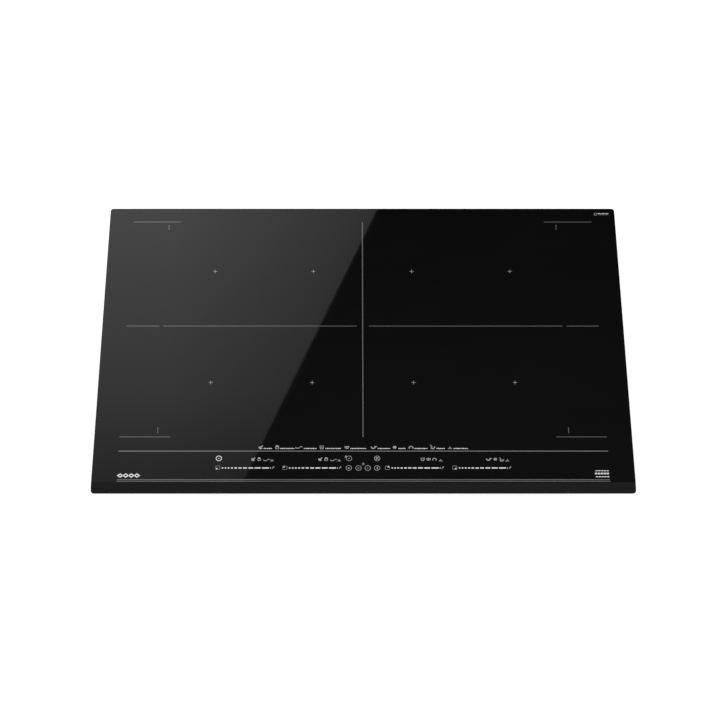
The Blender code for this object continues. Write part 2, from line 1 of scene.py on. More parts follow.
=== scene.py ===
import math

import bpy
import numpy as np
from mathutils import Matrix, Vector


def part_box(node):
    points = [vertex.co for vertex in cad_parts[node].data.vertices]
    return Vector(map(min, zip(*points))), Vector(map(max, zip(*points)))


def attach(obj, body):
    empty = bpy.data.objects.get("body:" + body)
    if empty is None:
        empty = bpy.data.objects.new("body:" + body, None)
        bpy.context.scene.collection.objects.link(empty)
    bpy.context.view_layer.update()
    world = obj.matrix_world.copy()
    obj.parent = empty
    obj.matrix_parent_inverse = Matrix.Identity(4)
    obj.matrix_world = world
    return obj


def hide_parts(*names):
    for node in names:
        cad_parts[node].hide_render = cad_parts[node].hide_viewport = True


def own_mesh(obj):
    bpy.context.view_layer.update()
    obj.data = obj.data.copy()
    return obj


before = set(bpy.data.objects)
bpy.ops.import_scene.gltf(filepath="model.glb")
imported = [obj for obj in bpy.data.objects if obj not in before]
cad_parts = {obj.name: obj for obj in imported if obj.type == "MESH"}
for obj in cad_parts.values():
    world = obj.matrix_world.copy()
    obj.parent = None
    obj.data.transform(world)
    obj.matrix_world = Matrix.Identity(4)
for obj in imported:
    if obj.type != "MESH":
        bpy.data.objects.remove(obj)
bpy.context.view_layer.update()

# %% [markdown]
# # A built-in induction hob
#
# A hob of this kind is a sheet of black glass-ceramic with a steel tray glued under it. What a cook
# sees is the glass and the marks printed on it. What a fitter sees is the tray, the clamps, the
# lid over the terminals and the cord grip. Between the two lie coils, boards and blowers.
#
# The solids that fix every size are already loaded.

MM = 0.001


def mm(*values):
    """Values in millimetres, as an array in metres."""
    return np.array(values) * MM


def box_of(name):
    """The lowest and the highest corner of a loaded node."""
    return [np.array(corner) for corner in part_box(name)]


glass_low, glass_high = box_of("glass_top")
HALF_X, HALF_Y, TOP = glass_high

# %% [markdown]
# ## The camera
#
# The hob is seen from the front and well above, from far enough away that its sides close in only a
# little. A long lens does that. The camera looks straight along +Y, so both sides lean alike, and it
# stands slightly to the left of the middle.

# %% Camera
LENS, SENSOR = 109.2, 36.0
CAMERA_PLACE = (-0.0174, -1.7226, TOP + 2.7632)
CAMERA_PITCH = 31.758
camera_data = bpy.data.cameras.new("studio_camera")
camera_data.lens = LENS
camera_data.sensor_width = SENSOR
camera = bpy.data.objects.new("studio_camera", camera_data)
camera.location = CAMERA_PLACE
camera.rotation_euler = (math.radians(CAMERA_PITCH), 0.0, 0.0)
bpy.context.scene.collection.objects.link(camera)
bpy.context.scene.camera = camera
print("camera", tuple(round(v, 3) for v in camera.location))

# %% [markdown]
# ## Light for a black mirror
#
# Polished black glass shows almost none of its own colour: what is seen in it is the room. So the
# room is designed. The sky is white for everything that scatters light. For mirrors it is light near
# the horizon, so the glass picks up a soft sheen from low down, and almost black at the height that
# the camera sees in the glass. Straight overhead it is a soft grey again. One softbox with a slanted
# edge, which only mirrors can see, lays the grey field over the left of the glass.

# %% Sky
scene = bpy.context.scene
scene.view_settings.view_transform = "Standard"
sky = bpy.data.worlds.new("studio_sky")
scene.world = sky
sky.use_nodes = True
sky_nodes, sky_links = sky.node_tree.nodes, sky.node_tree.links
sky_nodes.clear()
sky_out = sky_nodes.new("ShaderNodeOutputWorld")
sky_mix = sky_nodes.new("ShaderNodeMixShader")
sky_white = sky_nodes.new("ShaderNodeBackground")
sky_white.inputs["Strength"].default_value = 0.80
sky_mirror = sky_nodes.new("ShaderNodeBackground")
sky_rays = sky_nodes.new("ShaderNodeLightPath")
sky_place = sky_nodes.new("ShaderNodeTexCoord")
sky_split = sky_nodes.new("ShaderNodeSeparateXYZ")
sky_ramp = sky_nodes.new("ShaderNodeValToRGB")
# The ramp runs over the height of the direction looked in: 0 is the horizon and 1 is overhead.
SKY_STOPS = ((0.0, 0.85), (0.25, 0.50), (0.55, 0.14), (0.80, 0.020), (0.895, 0.085),
             (0.965, 0.27), (1.0, 0.30))
ramp = sky_ramp.color_ramp
for height, shade in SKY_STOPS[1:-1]:
    ramp.elements.new(height).color = (shade, shade, shade, 1.0)
for number in (0, -1):
    height, shade = SKY_STOPS[number]
    ramp.elements[number].position = height
    ramp.elements[number].color = (shade, shade, shade, 1.0)
sky_links.new(sky_place.outputs["Generated"], sky_split.inputs[0])
sky_links.new(sky_split.outputs["Z"], sky_ramp.inputs["Fac"])
sky_links.new(sky_ramp.outputs["Color"], sky_mirror.inputs["Color"])
sky_links.new(sky_rays.outputs["Is Glossy Ray"], sky_mix.inputs["Fac"])
sky_links.new(sky_white.outputs[0], sky_mix.inputs[1])
sky_links.new(sky_mirror.outputs[0], sky_mix.inputs[2])
sky_links.new(sky_mix.outputs[0], sky_out.inputs["Surface"])
print("sky stops", len(SKY_STOPS))


# %% Lamps
HOB_MIDDLE = (0.0, 0.0, 0.0)


def soft_lamp(name, place, size, power):
    """A square area lamp that points from its place to the middle of the hob."""
    data = bpy.data.lights.new(name, "AREA")
    data.shape = "SQUARE"
    data.size = size
    data.energy = power
    lamp = bpy.data.objects.new(name, data)
    scene.collection.objects.link(lamp)
    from_to = np.array(HOB_MIDDLE) - np.array(place)
    yaw = math.atan2(-from_to[0], from_to[1])
    pitch = math.atan2(math.hypot(from_to[0], from_to[1]), -from_to[2])
    lamp.location = place
    lamp.rotation_euler = (pitch, 0.0, yaw)


soft_lamp("key_lamp", (-2.2, -1.6, 2.4), 1.2, 26.0)
soft_lamp("back_lamp", (1.8, 2.6, 1.8), 1.0, 16.0)
soft_lamp("side_lamp", (2.6, -1.4, 1.2), 0.8, 8.0)


# %% Small makers for node trees
def map_range(tree, source, low, high, to_low, to_high):
    """A source from low to high becomes to_low to to_high, and holds those values past the ends."""
    node = tree.nodes.new("ShaderNodeMapRange")
    for number, value in zip((1, 2, 3, 4), (low, high, to_low, to_high)):
        node.inputs[number].default_value = value
    tree.links.new(source, node.inputs[0])
    return node.outputs[0]


def maths(tree, operation, first, second=None):
    """A maths node; each operand is a number or another node's output."""
    node = tree.nodes.new("ShaderNodeMath")
    node.operation = operation
    for socket, value in zip(node.inputs, (first, second)):
        if value is None:
            continue
        if isinstance(value, (int, float)):
            socket.default_value = value
        else:
            tree.links.new(value, socket)
    return node.outputs[0]


print("node makers ready")

# %% [markdown]
# ## Meshes from arrays
#
# Every new piece is a grid of points worked out at once with numpy. Two ideas cover almost all of
# them. A *stack* is one outline drawn again and again at new heights and insets, like the rings of
# a tree trunk. A *sweep* carries a small section along a path. Both join neighbours with quads and
# close the ends, so each piece is a sealed body with its faces outwards.


# %% Outlines
def rounded_outline(half_x, half_y, radius, centre=(0.0, 0.0), steps=6):
    """A rectangle with round corners: each corner's centre plus radius times (cos, sin) of a quarter turn."""
    quarter = np.linspace(0.0, np.pi / 2, steps + 1)
    turn = (np.arange(4)[:, None] * np.pi / 2 + quarter[None, :]).ravel()
    sign_x = np.repeat([1, -1, -1, 1], steps + 1)
    sign_y = np.repeat([1, 1, -1, -1], steps + 1)
    x = centre[0] + sign_x * (half_x - radius) + radius * np.cos(turn)
    y = centre[1] + sign_y * (half_y - radius) + radius * np.sin(turn)
    return np.stack([x, y], 1)


def circle_outline(radius, centre=(0.0, 0.0), steps=32):
    turn = np.arange(steps) * 2 * np.pi / steps
    return np.stack([centre[0] + radius * np.cos(turn), centre[1] + radius * np.sin(turn)], 1)


def inset(outline, amount):
    """Moves each point of a closed anticlockwise outline inwards along the mitre of its two edges."""
    before = outline - np.roll(outline, 1, 0)
    after = np.roll(outline, -1, 0) - outline
    before /= np.linalg.norm(before, axis=1)[:, None]
    after /= np.linalg.norm(after, axis=1)[:, None]
    left = np.stack([-before[:, 1] - after[:, 1], before[:, 0] + after[:, 0]], 1)
    left /= np.linalg.norm(left, axis=1)[:, None]
    reach = np.clip(left[:, 0] * -after[:, 1] + left[:, 1] * after[:, 0], 0.35, 1.0)
    return outline + left * (amount / reach)[:, None]


def at_height(outline, z):
    return np.column_stack([outline, np.broadcast_to(z, len(outline))])


# %% Stacks and sweeps
def stack(rings, closed=False):
    """Quads between neighbouring rings of the same length; the first and last are capped, or joined."""
    rings = np.asarray(rings, float)
    levels, count = rings.shape[:2]
    here = np.arange(levels * count).reshape(levels, count)
    up = np.roll(here, -1, 0) if closed else here[1:]
    low = here if closed else here[:-1]
    quads = np.stack([low, np.roll(low, -1, 1), np.roll(up, -1, 1), up], -1).reshape(-1, 4)
    faces = [tuple(q) for q in quads.tolist()]
    if not closed:
        faces.append(tuple(here[0][::-1].tolist()))
        faces.append(tuple(here[-1].tolist()))
    return rings.reshape(-1, 3), faces


def prism(outline, low, high):
    """An outline drawn straight up from one height to another."""
    return stack([at_height(outline, low), at_height(outline, high)])


def slab(outline, low, high, edge=0.0003):
    """A plate whose four long edges are broken by a small chamfer."""
    return stack([at_height(inset(outline, edge), low), at_height(outline, low + edge),
                  at_height(outline, high - edge), at_height(inset(outline, edge), high)])


def band(outer, inner, low, high, edge=0.0003):
    """A plate with one hole: a ring-shaped loop of eight corners round each point of the outline."""
    return stack([at_height(inset(outer, edge), low), at_height(outer, low + edge),
                  at_height(outer, high - edge), at_height(inset(outer, edge), high),
                  at_height(inset(inner, -edge), high), at_height(inner, high - edge),
                  at_height(inner, low + edge), at_height(inset(inner, -edge), low)], closed=True)


def lathe(profile, centre, steps=32, axis="z"):
    """Turns (radius, height) pairs, listed from the bottom up, about an upright or level axis."""
    profile = np.asarray(profile, float)
    turn = np.arange(steps) * 2 * np.pi / steps
    radius = np.maximum(profile[:, 0], 1e-6)[:, None]
    x, y = radius * np.cos(turn), radius * np.sin(turn)
    z = np.broadcast_to(profile[:, 1][:, None], x.shape)
    order = {"z": (x, y, z), "y": (y, z, x), "x": (z, x, y)}[axis]
    closed = bool(profile[0, 0] > 0 and np.allclose(profile[0], profile[-1]))
    rings = np.stack(order, -1)
    verts, faces = stack(rings[:-1] if closed else rings, closed)
    return verts + np.asarray(centre, float), faces


def sweep(path, section, up=(0.0, 0.0, 1.0), closed=False):
    """Carries a section, (sideways, upwards) pairs going anticlockwise, along a path of points."""
    path, section = np.asarray(path, float), np.asarray(section, float)
    if closed:
        along = np.roll(path, -1, 0) - np.roll(path, 1, 0)
    else:
        along = np.gradient(path, axis=0)
    along /= np.linalg.norm(along, axis=1)[:, None]
    side = np.cross(along, np.asarray(up, float))
    side /= np.maximum(np.linalg.norm(side, axis=1), 1e-9)[:, None]
    rise = np.cross(side, along)
    rings = path[:, None] + side[:, None] * section[None, :, :1] + rise[:, None] * section[None, :, 1:]
    return stack(rings[:, ::-1], closed)


def cuboid(low, high, edge=0.0004):
    """A block with broken edges, as a slab over a rectangle."""
    low, high = np.minimum(low, high), np.maximum(low, high)
    middle, half = (low + high) / 2, (high - low) / 2
    edge = min(edge, *(half * 0.4))
    corners = rounded_outline(half[0], half[1], edge * 1.5, middle[:2], 2)
    return slab(corners, low[2], high[2], edge)


def merge(*parts):
    """Several (points, faces) pairs as one."""
    verts, faces, start = [], [], 0
    for points, polygons in parts:
        verts.append(points)
        faces += [tuple(i + start for i in polygon) for polygon in polygons]
        start += len(points)
    return np.concatenate(verts), faces


def mirror_x(part):
    """The same piece on the other side; the faces are turned round so that they still look out."""
    verts, faces = part
    return verts * np.array([-1.0, 1.0, 1.0]), [face[::-1] for face in faces]


# %% From arrays to objects
def plain_object(name, part):
    """A mesh object at the origin from a (points, faces) pair."""
    verts, faces = part
    mesh = bpy.data.meshes.new(name)
    mesh.from_pydata(np.asarray(verts).tolist(), [], faces)
    obj = bpy.data.objects.new(name, mesh)
    scene.collection.objects.link(obj)
    return obj


def shade_by_angle(mesh, degrees):
    """Smooth shading, except over edges whose two faces meet at more than the angle."""
    mesh.shade_smooth()
    mesh.set_sharp_from_angle(angle=math.radians(degrees))


def tell_frame(obj, body, replaces):
    """The body that a piece rides on, and the loaded node that it stands for, if any."""
    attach(obj, body)
    if replaces:
        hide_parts(replaces)
    return obj


def make(name, part, finish_of_piece, body, replaces=None, smooth=30.0):
    """Turns a (points, faces) pair into a finished piece and tells the frame about it."""
    obj = plain_object(name, part)
    obj.data.validate()
    obj.data.materials.append(finish_of_piece)
    shade_by_angle(obj.data, smooth)
    return tell_frame(obj, body, replaces)


print("mesh makers ready")


# %% Floor
def stage_sheet(name, corners, finish_of_sheet):
    """A flat sheet with four corners that belongs to the studio, not to the hob."""
    sheet = plain_object(name, (corners, [(0, 1, 2, 3)]))
    sheet.data.materials.append(finish_of_sheet)
    return sheet


def floor_finish():
    """Pale matt floor with a little light of its own, so that it stays white round the hob."""
    made = bpy.data.materials.new("pale_floor")
    made.use_nodes = True
    tree = made.node_tree
    shader = tree.nodes["Principled BSDF"]
    shader.inputs["Base Color"].default_value = (0.82, 0.82, 0.82, 1.0)
    shader.inputs["Roughness"].default_value = 1.0
    shader.inputs["Specular IOR Level"].default_value = 0.0
    shader.inputs["Emission Color"].default_value = (1.0, 1.0, 1.0, 1.0)
    shader.inputs["Emission Strength"].default_value = 0.58
    # From below, the floor lets the view through, so that the underside of the hob can be looked at.
    side = tree.nodes.new("ShaderNodeNewGeometry")
    mixed = tree.nodes.new("ShaderNodeMixShader")
    clear = tree.nodes.new("ShaderNodeBsdfTransparent")
    tree.links.new(side.outputs["Backfacing"], mixed.inputs["Fac"])
    tree.links.new(shader.outputs[0], mixed.inputs[1])
    tree.links.new(clear.outputs[0], mixed.inputs[2])
    tree.links.new(mixed.outputs[0], tree.nodes["Material Output"].inputs["Surface"])
    return made


FLOOR_HALF, FLOOR_Z = 6.0, -0.3 * MM
floor_corners = [(x * FLOOR_HALF, y * FLOOR_HALF, FLOOR_Z) for x, y in ((-1, -1), (1, -1), (1, 1), (-1, 1))]
stage_sheet("floor", floor_corners, floor_finish())
print("floor at", FLOOR_Z / MM, "mm")


# %% Softbox
def softbox_finish():
    """Brightest far to the left and at the back; it falls off towards the middle and the front."""
    made = bpy.data.materials.new("softbox_cloth")
    made.use_nodes = True
    tree = made.node_tree
    tree.nodes.clear()
    place = tree.nodes.new("ShaderNodeTexCoord")
    split = tree.nodes.new("ShaderNodeSeparateXYZ")
    tree.links.new(place.outputs["Object"], split.inputs[0])
    # Each range names two places in metres, then the strength at each of them.
    depth = map_range(tree, split.outputs["Y"], 0.56, 1.32, 0.55, 1.37)
    across = map_range(tree, split.outputs["X"], -0.45, 0.04, 1.0, 0.46)
    front = map_range(tree, split.outputs["Y"], 0.56, 0.80, 0.76, 1.0)
    glow = tree.nodes.new("ShaderNodeEmission")
    tree.links.new(maths(tree, "MULTIPLY", maths(tree, "MULTIPLY", depth, across), front),
                   glow.inputs["Strength"])
    out = tree.nodes.new("ShaderNodeOutputMaterial")
    tree.links.new(glow.outputs[0], out.inputs["Surface"])
    return made


# The softbox hangs over the hob. Its right edge is the slanted line that crosses the glass.
SOFTBOX_HEIGHT, SOFTBOX_LEFT = TOP + 1.5, -1.10
SOFTBOX_FRONT, SOFTBOX_BACK = 0.40, 1.50
EDGE_BACK = (0.0434, 1.3218)
EDGE_FRONT = (-0.2657, 0.5630)
EDGE_SLOPE = (EDGE_BACK[0] - EDGE_FRONT[0]) / (EDGE_BACK[1] - EDGE_FRONT[1])


def softbox_edge(y):
    """The x of the slanted edge at one depth."""
    return EDGE_BACK[0] + (y - EDGE_BACK[1]) * EDGE_SLOPE


softbox_corners = [(SOFTBOX_LEFT, SOFTBOX_FRONT), (SOFTBOX_LEFT, SOFTBOX_BACK),
                   (softbox_edge(SOFTBOX_BACK), SOFTBOX_BACK), (softbox_edge(SOFTBOX_FRONT), SOFTBOX_FRONT)]
softbox = stage_sheet("softbox", [(x, y, SOFTBOX_HEIGHT) for x, y in softbox_corners], softbox_finish())
softbox.visible_camera = False
softbox.visible_diffuse = False
softbox.visible_shadow = False
print("softbox edge leans", round(math.degrees(math.atan(EDGE_SLOPE)), 1), "degrees")

# %% [markdown]
# ## Shared effects
#
# Real finishes are never even. Each effect below is a node group with its own sockets, so that one
# idea, such as grain or brushing, serves many materials, each with its own scale and strength. The
# groups give out tones, roughness and heights. The shader itself stays in the material.


# %% Node groups
def effect(name, inputs, outputs):
    """A new node group with float inputs, given as (name, default), and float outputs."""
    group = bpy.data.node_groups.new(name, "ShaderNodeTree")
    for label, default in inputs:
        socket = group.interface.new_socket(label, in_out="INPUT", socket_type="NodeSocketFloat")
        socket.default_value = default
    for label in outputs:
        group.interface.new_socket(label, in_out="OUTPUT", socket_type="NodeSocketFloat")
    entry, leave = group.nodes.new("NodeGroupInput"), group.nodes.new("NodeGroupOutput")
    place = group.nodes.new("ShaderNodeTexCoord")
    return group, entry, leave, place.outputs["Object"]


def noise(group, place, scale, detail=3.0, stretch=None):
    """Smooth noise on a place, whose scale may come from a socket; stretch squeezes the axes."""
    if stretch:
        squeeze = group.nodes.new("ShaderNodeMapping")
        squeeze.inputs["Scale"].default_value = stretch
        group.links.new(place, squeeze.inputs["Vector"])
        place = squeeze.outputs[0]
    node = group.nodes.new("ShaderNodeTexNoise")
    node.inputs["Detail"].default_value = detail
    group.links.new(place, node.inputs["Vector"])
    if isinstance(scale, (int, float)):
        node.inputs["Scale"].default_value = scale
    else:
        group.links.new(scale, node.inputs["Scale"])
    return node.outputs["Fac"]


def random_cells(group, place, scale):
    """Voronoi cells: the red, green and blue of each one's random colour serve as free tones."""
    cells = group.nodes.new("ShaderNodeTexVoronoi")
    group.links.new(place, cells.inputs["Vector"])
    group.links.new(scale, cells.inputs["Scale"])
    shade = group.nodes.new("ShaderNodeSeparateColor")
    group.links.new(cells.outputs["Color"], shade.inputs[0])
    return shade.outputs


def give_out(group, leave, broad, broad_share, fine, fine_share, height):
    """The tone is a weighted sum of two patterns, and the height is one pattern alone."""
    tone = maths(group, "ADD", maths(group, "MULTIPLY", broad, broad_share),
                 maths(group, "MULTIPLY", fine, fine_share))
    group.links.new(tone, leave.inputs["Tone"])
    group.links.new(height, leave.inputs["Height"])
    return group


def make_grain():
    """Moulded or coated surfaces: a coarse drift of tone and a fine pebble."""
    group, entry, leave, place = effect("surface_grain", [("Scale", 900.0), ("Drift", 12.0)],
                                        ["Tone", "Height"])
    fine = noise(group, place, entry.outputs["Scale"], 2.0)
    broad = noise(group, place, entry.outputs["Drift"], 3.0)
    return give_out(group, leave, broad, 0.75, fine, 0.25, fine)


def make_spangle():
    """Zinc coating: flat crystals a few millimetres across, each with its own shade, under fine grain."""
    group, entry, leave, place = effect("zinc_spangle", [("Scale", 160.0), ("Grain", 1500.0)],
                                        ["Tone", "Height"])
    # A little noise bends the places, so that the crystals' borders aren't straight.
    wobble = group.nodes.new("ShaderNodeTexNoise")
    wobble.inputs["Scale"].default_value = 120.0
    group.links.new(place, wobble.inputs["Vector"])
    bend = group.nodes.new("ShaderNodeMixRGB")
    bend.inputs["Fac"].default_value = 0.012
    group.links.new(place, bend.inputs[1])
    group.links.new(wobble.outputs["Color"], bend.inputs[2])
    crystals = random_cells(group, bend.outputs[0], entry.outputs["Scale"])
    fine = noise(group, place, entry.outputs["Grain"], 1.0)
    return give_out(group, leave, crystals[0], 0.7, fine, 0.3, fine)


def make_brushing():
    """Rolled or brushed metal: noise squeezed across one axis into long hair lines."""
    group, entry, leave, place = effect("brushed_lines", [("Scale", 60.0)], ["Tone", "Height"])
    lines = noise(group, place, entry.outputs["Scale"], 4.0, (60.0, 1.0, 60.0))
    blots = noise(group, place, 9.0, 2.0)
    return give_out(group, leave, lines, 0.7, blots, 0.3, lines)


def make_film():
    """What a wiped glass keeps: very faint, broad streaks, and specks finer than a grain of salt."""
    group, entry, leave, place = effect("wiped_film", [("Streak", 5.0), ("Speck", 700.0)],
                                        ["Tone", "Height"])
    streaks = noise(group, place, entry.outputs["Streak"], 4.0, (1.0, 3.0, 1.0))
    specks = noise(group, place, entry.outputs["Speck"], 1.0)
    return give_out(group, leave, streaks, 0.8, specks, 0.2, specks)


EFFECTS = {"grain": make_grain(), "spangle": make_spangle(), "brushed": make_brushing(),
           "film": make_film()}
print("effects:", sorted(EFFECTS))


# %% One maker for the finishes
def finish(name, effect_name, dark, light, rough, bump=0.0, settings=(), **sockets):
    """A Principled material: an effect's tone runs its colour from dark to light and its roughness
    over a range, and the effect's height goes through a bump of so many metres."""
    made = bpy.data.materials.new(name)
    made.use_nodes = True
    tree = made.node_tree
    shader = tree.nodes["Principled BSDF"]
    for label, value in sockets.items():
        shader.inputs[label.replace("_", " ")].default_value = value
    pattern = tree.nodes.new("ShaderNodeGroup")
    pattern.node_tree = EFFECTS[effect_name]
    for label, value in settings:
        pattern.inputs[label].default_value = value
    shades = tree.nodes.new("ShaderNodeValToRGB")
    for element, position, colour in zip(shades.color_ramp.elements, (0.30, 0.70), (dark, light)):
        element.position = position
        element.color = (*colour, 1.0)
    tree.links.new(pattern.outputs["Tone"], shades.inputs["Fac"])
    tree.links.new(shades.outputs["Color"], shader.inputs["Base Color"])
    tree.links.new(map_range(tree, pattern.outputs["Tone"], 0.25, 0.75, *rough), shader.inputs["Roughness"])
    if bump:
        relief = tree.nodes.new("ShaderNodeBump")
        relief.inputs["Distance"].default_value = bump
        relief.inputs["Strength"].default_value = 1.0
        tree.links.new(pattern.outputs["Height"], relief.inputs["Height"])
        tree.links.new(relief.outputs["Normal"], shader.inputs["Normal"])
    return made


def grey(value, tint=(1.0, 1.0, 1.0)):
    return tuple(value * part for part in tint)


BLACK_GLASS = finish("black_glass_ceramic", "film", grey(0.0022), grey(0.0030, (1.0, 1.0, 1.05)),
                     (0.020, 0.034), IOR=1.5)


def ink(name, value):
    """Fired enamel: a little uneven, nearly as smooth as the glass, and with a higher index."""
    return finish(name, "grain", grey(value), grey(value * 1.15), (0.05, 0.10), IOR=1.8,
                  settings=(("Scale", 2500.0),))


INK_FAINT, INK_GREY = ink("print_faint_grey", 0.108), ink("print_grey", 0.18)
INK_LIGHT, INK_WHITE = ink("print_light_grey", 0.42), ink("print_white", 0.80)
print("glass and inks ready")

# %% [markdown]
# ## The glass
#
# The top is one sheet of glass-ceramic with ground edges. Its front edge is ground to a long slope.
# The outline is stacked through a few heights, with a fine arris at each edge. The height of the
# upper rings follows the slope, and the outline has a point on each side just where the slope
# begins, so that the crease is crisp.

# %% Glass
BEVEL_WIDTH, BEVEL_DROP = 17 * MM, 2.5 * MM
CREASE_Y = BEVEL_WIDTH - HALF_Y
INK_THICK = 0.04 * MM
GLASS_TOP = TOP - INK_THICK
ARRIS = 0.25 * MM
GLASS_CORNER = 5 * MM
CORNER_STEPS = 10


def glass_height(y):
    """Flat behind the crease, and in front of it a straight fall to the front edge."""
    return GLASS_TOP - np.maximum(CREASE_Y - y, 0.0) * BEVEL_DROP / BEVEL_WIDTH


def glass_ring(amount, low=None, fall=0.0):
    """The outline drawn in by an amount, at one height or a little below the sloping top."""
    outline = rounded_outline(HALF_X - amount, HALF_Y - amount, GLASS_CORNER - amount, steps=CORNER_STEPS)
    ends = 2 * (CORNER_STEPS + 1)
    crease = [(amount - HALF_X, CREASE_Y), (HALF_X - amount, CREASE_Y)]
    outline = np.insert(outline, [ends, 2 * ends], crease, 0)
    return at_height(outline, glass_height(outline[:, 1]) - fall if low is None else low)


def glass_part():
    """Five rings of the rounded outline; the flat and the slope close the top as two faces."""
    verts, faces = stack([glass_ring(ARRIS, glass_low[2]), glass_ring(0.0, glass_low[2] + ARRIS),
                          glass_ring(0.0, fall=ARRIS), glass_ring(0.3 * ARRIS, fall=0.3 * ARRIS),
                          glass_ring(ARRIS)])
    top = np.array(faces.pop())
    faces.append(tuple(top[verts[top, 1] > CREASE_Y - MM * 0.001].tolist()))
    faces.append(tuple(top[verts[top, 1] < CREASE_Y + MM * 0.001].tolist()))
    return verts, faces


glass = make("glass_surface", glass_part(), BLACK_GLASS, "hob", "glass_top", smooth=4.0)
bevel_angle = math.degrees(math.atan2(BEVEL_DROP, BEVEL_WIDTH))
print("glass", len(glass.data.polygons), "faces; slope", round(bevel_angle, 1), "degrees")

# %% [markdown]
# ## The printed marks
#
# The marks are ceramic ink, fired onto the glass a few hundredths of a millimetre thick. They could
# be a picture laid on the top, but a picture blurs close up. Here each stroke is a flat ribbon with a
# real thickness, so it stays sharp and catches the light a little differently from the glass. Words
# are not drawn: where a legend would be, there is a row of plain bars.


# %% Strokes
INK_LOW = GLASS_TOP - 0.25 * INK_THICK


def stroke(points, width, closed=False):
    """A flat ribbon along a path: each point is moved to both sides along the mitre of its edges."""
    points = np.asarray(points, float) * MM
    half = width * MM / 2
    after = np.roll(points, -1, 0) - points
    before = np.roll(after, 1, 0)
    if not closed:
        before[0] = after[0]
        after[-1] = before[-1]
    before /= np.linalg.norm(before, axis=1)[:, None]
    after /= np.linalg.norm(after, axis=1)[:, None]
    across = np.stack([-before[:, 1] - after[:, 1], before[:, 0] + after[:, 0]], 1)
    across /= np.linalg.norm(across, axis=1)[:, None]
    reach = np.clip(np.abs(across[:, 1] * after[:, 0] - across[:, 0] * after[:, 1]), 0.5, 1.0)
    across *= (half / reach)[:, None]
    left, right = points + across, points - across
    rings = np.stack([at_height(right, INK_LOW), at_height(right, TOP), at_height(left, TOP),
                      at_height(left, INK_LOW)], 1)
    return stack(rings[:, ::-1], closed)


def ring_stroke(x, y, radius, width, steps=28):
    return stroke(circle_outline(radius, (x, y), steps), width, closed=True)


def arc_stroke(x, y, radius, start, end, width, steps=12):
    turn = np.radians(np.linspace(start, end, steps + 1))
    return stroke(np.stack([x + radius * np.cos(turn), y + radius * np.sin(turn)], 1), width)


def dot(x, y, radius):
    """A filled disc."""
    return prism(circle_outline(radius * MM, (x * MM, y * MM), 16), INK_LOW, TOP)


def bar(x_low, x_high, y, height):
    """A level filled bar with slightly round ends."""
    half_x, half_y = (x_high - x_low) / 2, height / 2
    outline = rounded_outline(half_x * MM, half_y * MM, min(half_x, half_y) * 0.5 * MM,
                              ((x_low + x_high) / 2 * MM, y * MM), 3)
    return prism(outline, INK_LOW, TOP)


def level(x_low, x_high, y, width):
    return stroke([(x_low, y), (x_high, y)], width)


def upright(x, y_low, y_high, width):
    return stroke([(x, y_low), (x, y_high)], width)


def printed(name, parts, enamel):
    """Several strokes as one piece of print."""
    return make(name, merge(*parts), enamel, "hob")


print("stroke makers ready; all places on the glass are in mm from its middle")

# %% [markdown]
# ### Zone marks
#
# A cross marks the middle of each coil. Long thin lines split the glass into four cooking areas, and
# an angle at each corner bounds them. The crosses stand over the coils, and the cell prints how far
# each one is from the middle of its winding.

# %% Zone marks
LINE, MIDDLE_LINE = 1.25, 1.15
SPLIT_Y, SIDE_END = 33.8, 362.5
CORNER_START, CORNER_TICK = 287.2, 306.0
zone_lines = []
for side in (-1, 1):
    for inner_end, outer_end in ((9.4, 306.2), (312.7, SIDE_END)):
        zone_lines.append(level(*sorted((side * inner_end, side * outer_end)), SPLIT_Y, LINE))
    for y, tick_low, tick_high in ((229.0, 214.0, 223.5), (-161.5, -155.2, -145.2)):
        zone_lines.append(level(*sorted((side * CORNER_START, side * SIDE_END)), y, LINE))
        zone_lines.append(upright(side * CORNER_TICK, tick_low, tick_high, LINE))
printed("zone_lines", zone_lines, INK_FAINT)
printed("middle_line", [upright(-0.25, -161.7, 228.0, MIDDLE_LINE)], INK_GREY)
print("zone lines", len(zone_lines))

# %% Crosses over the coils
CROSS_ARM, CROSS_LINE, CROSS_SHIFT = 3.1, 0.85, 0.2
CROSS_ROWS, CROSS_COLUMNS = (134.8, -67.2), (-229.8, -76.6, 76.6, 229.8)
cross_places = [(x - CROSS_SHIFT, y) for y in CROSS_ROWS for x in CROSS_COLUMNS]
crosses = []
for x, y in cross_places:
    crosses.append(level(x - CROSS_ARM, x + CROSS_ARM, y, CROSS_LINE))
    crosses.append(upright(x, y - CROSS_ARM, y - CROSS_LINE / 2, CROSS_LINE))
    crosses.append(upright(x, y + CROSS_LINE / 2, y + CROSS_ARM, CROSS_LINE))
printed("coil_crosses", crosses, ink("print_cross_grey", 0.30))
for number, place in enumerate(cross_places, 1):
    low, high = box_of(f"coil_winding_{number}")
    off = math.dist(place, (low + high)[:2] / 2 / MM)
    print(f"cross {number} is", round(off, 1), "mm from the middle of its coil")

# %% Lines that frame the controls
LONG_LINE_Y, DOUBLE_LINE_YS = -185.6, (-233.5, -236.15)
control_lines = [level(-SIDE_END, SIDE_END, LONG_LINE_Y, 1.45)]
control_lines += [level(-SIDE_END, SIDE_END, y, 1.0) for y in DOUBLE_LINE_YS]
printed("control_lines", control_lines, ink("print_silver", 0.185))
print("control lines", len(control_lines))

# %% [markdown]
# ### Touch keys and sliders
#
# Nothing here moves: a finger on the glass changes the charge of a pad below it. Each slider is a row
# of dashes that grow towards full power, between a square that shows which zone it drives and a
# small boost mark. Round keys are thin rings with a mark inside.

# %% Sliders
# Each slider gives the x of its square, and in which of the square's corners its dot sits.
SLIDERS = ((-214.6, -1, -1), (-115.6, -1, 1), (35.6, 1, 1), (134.9, 1, -1))
SLIDER_Y = -213.7
DASH_Y = SLIDER_Y - 0.35
DASHES = 10
INK_SQUARE = ink("print_square_grey", 0.27)


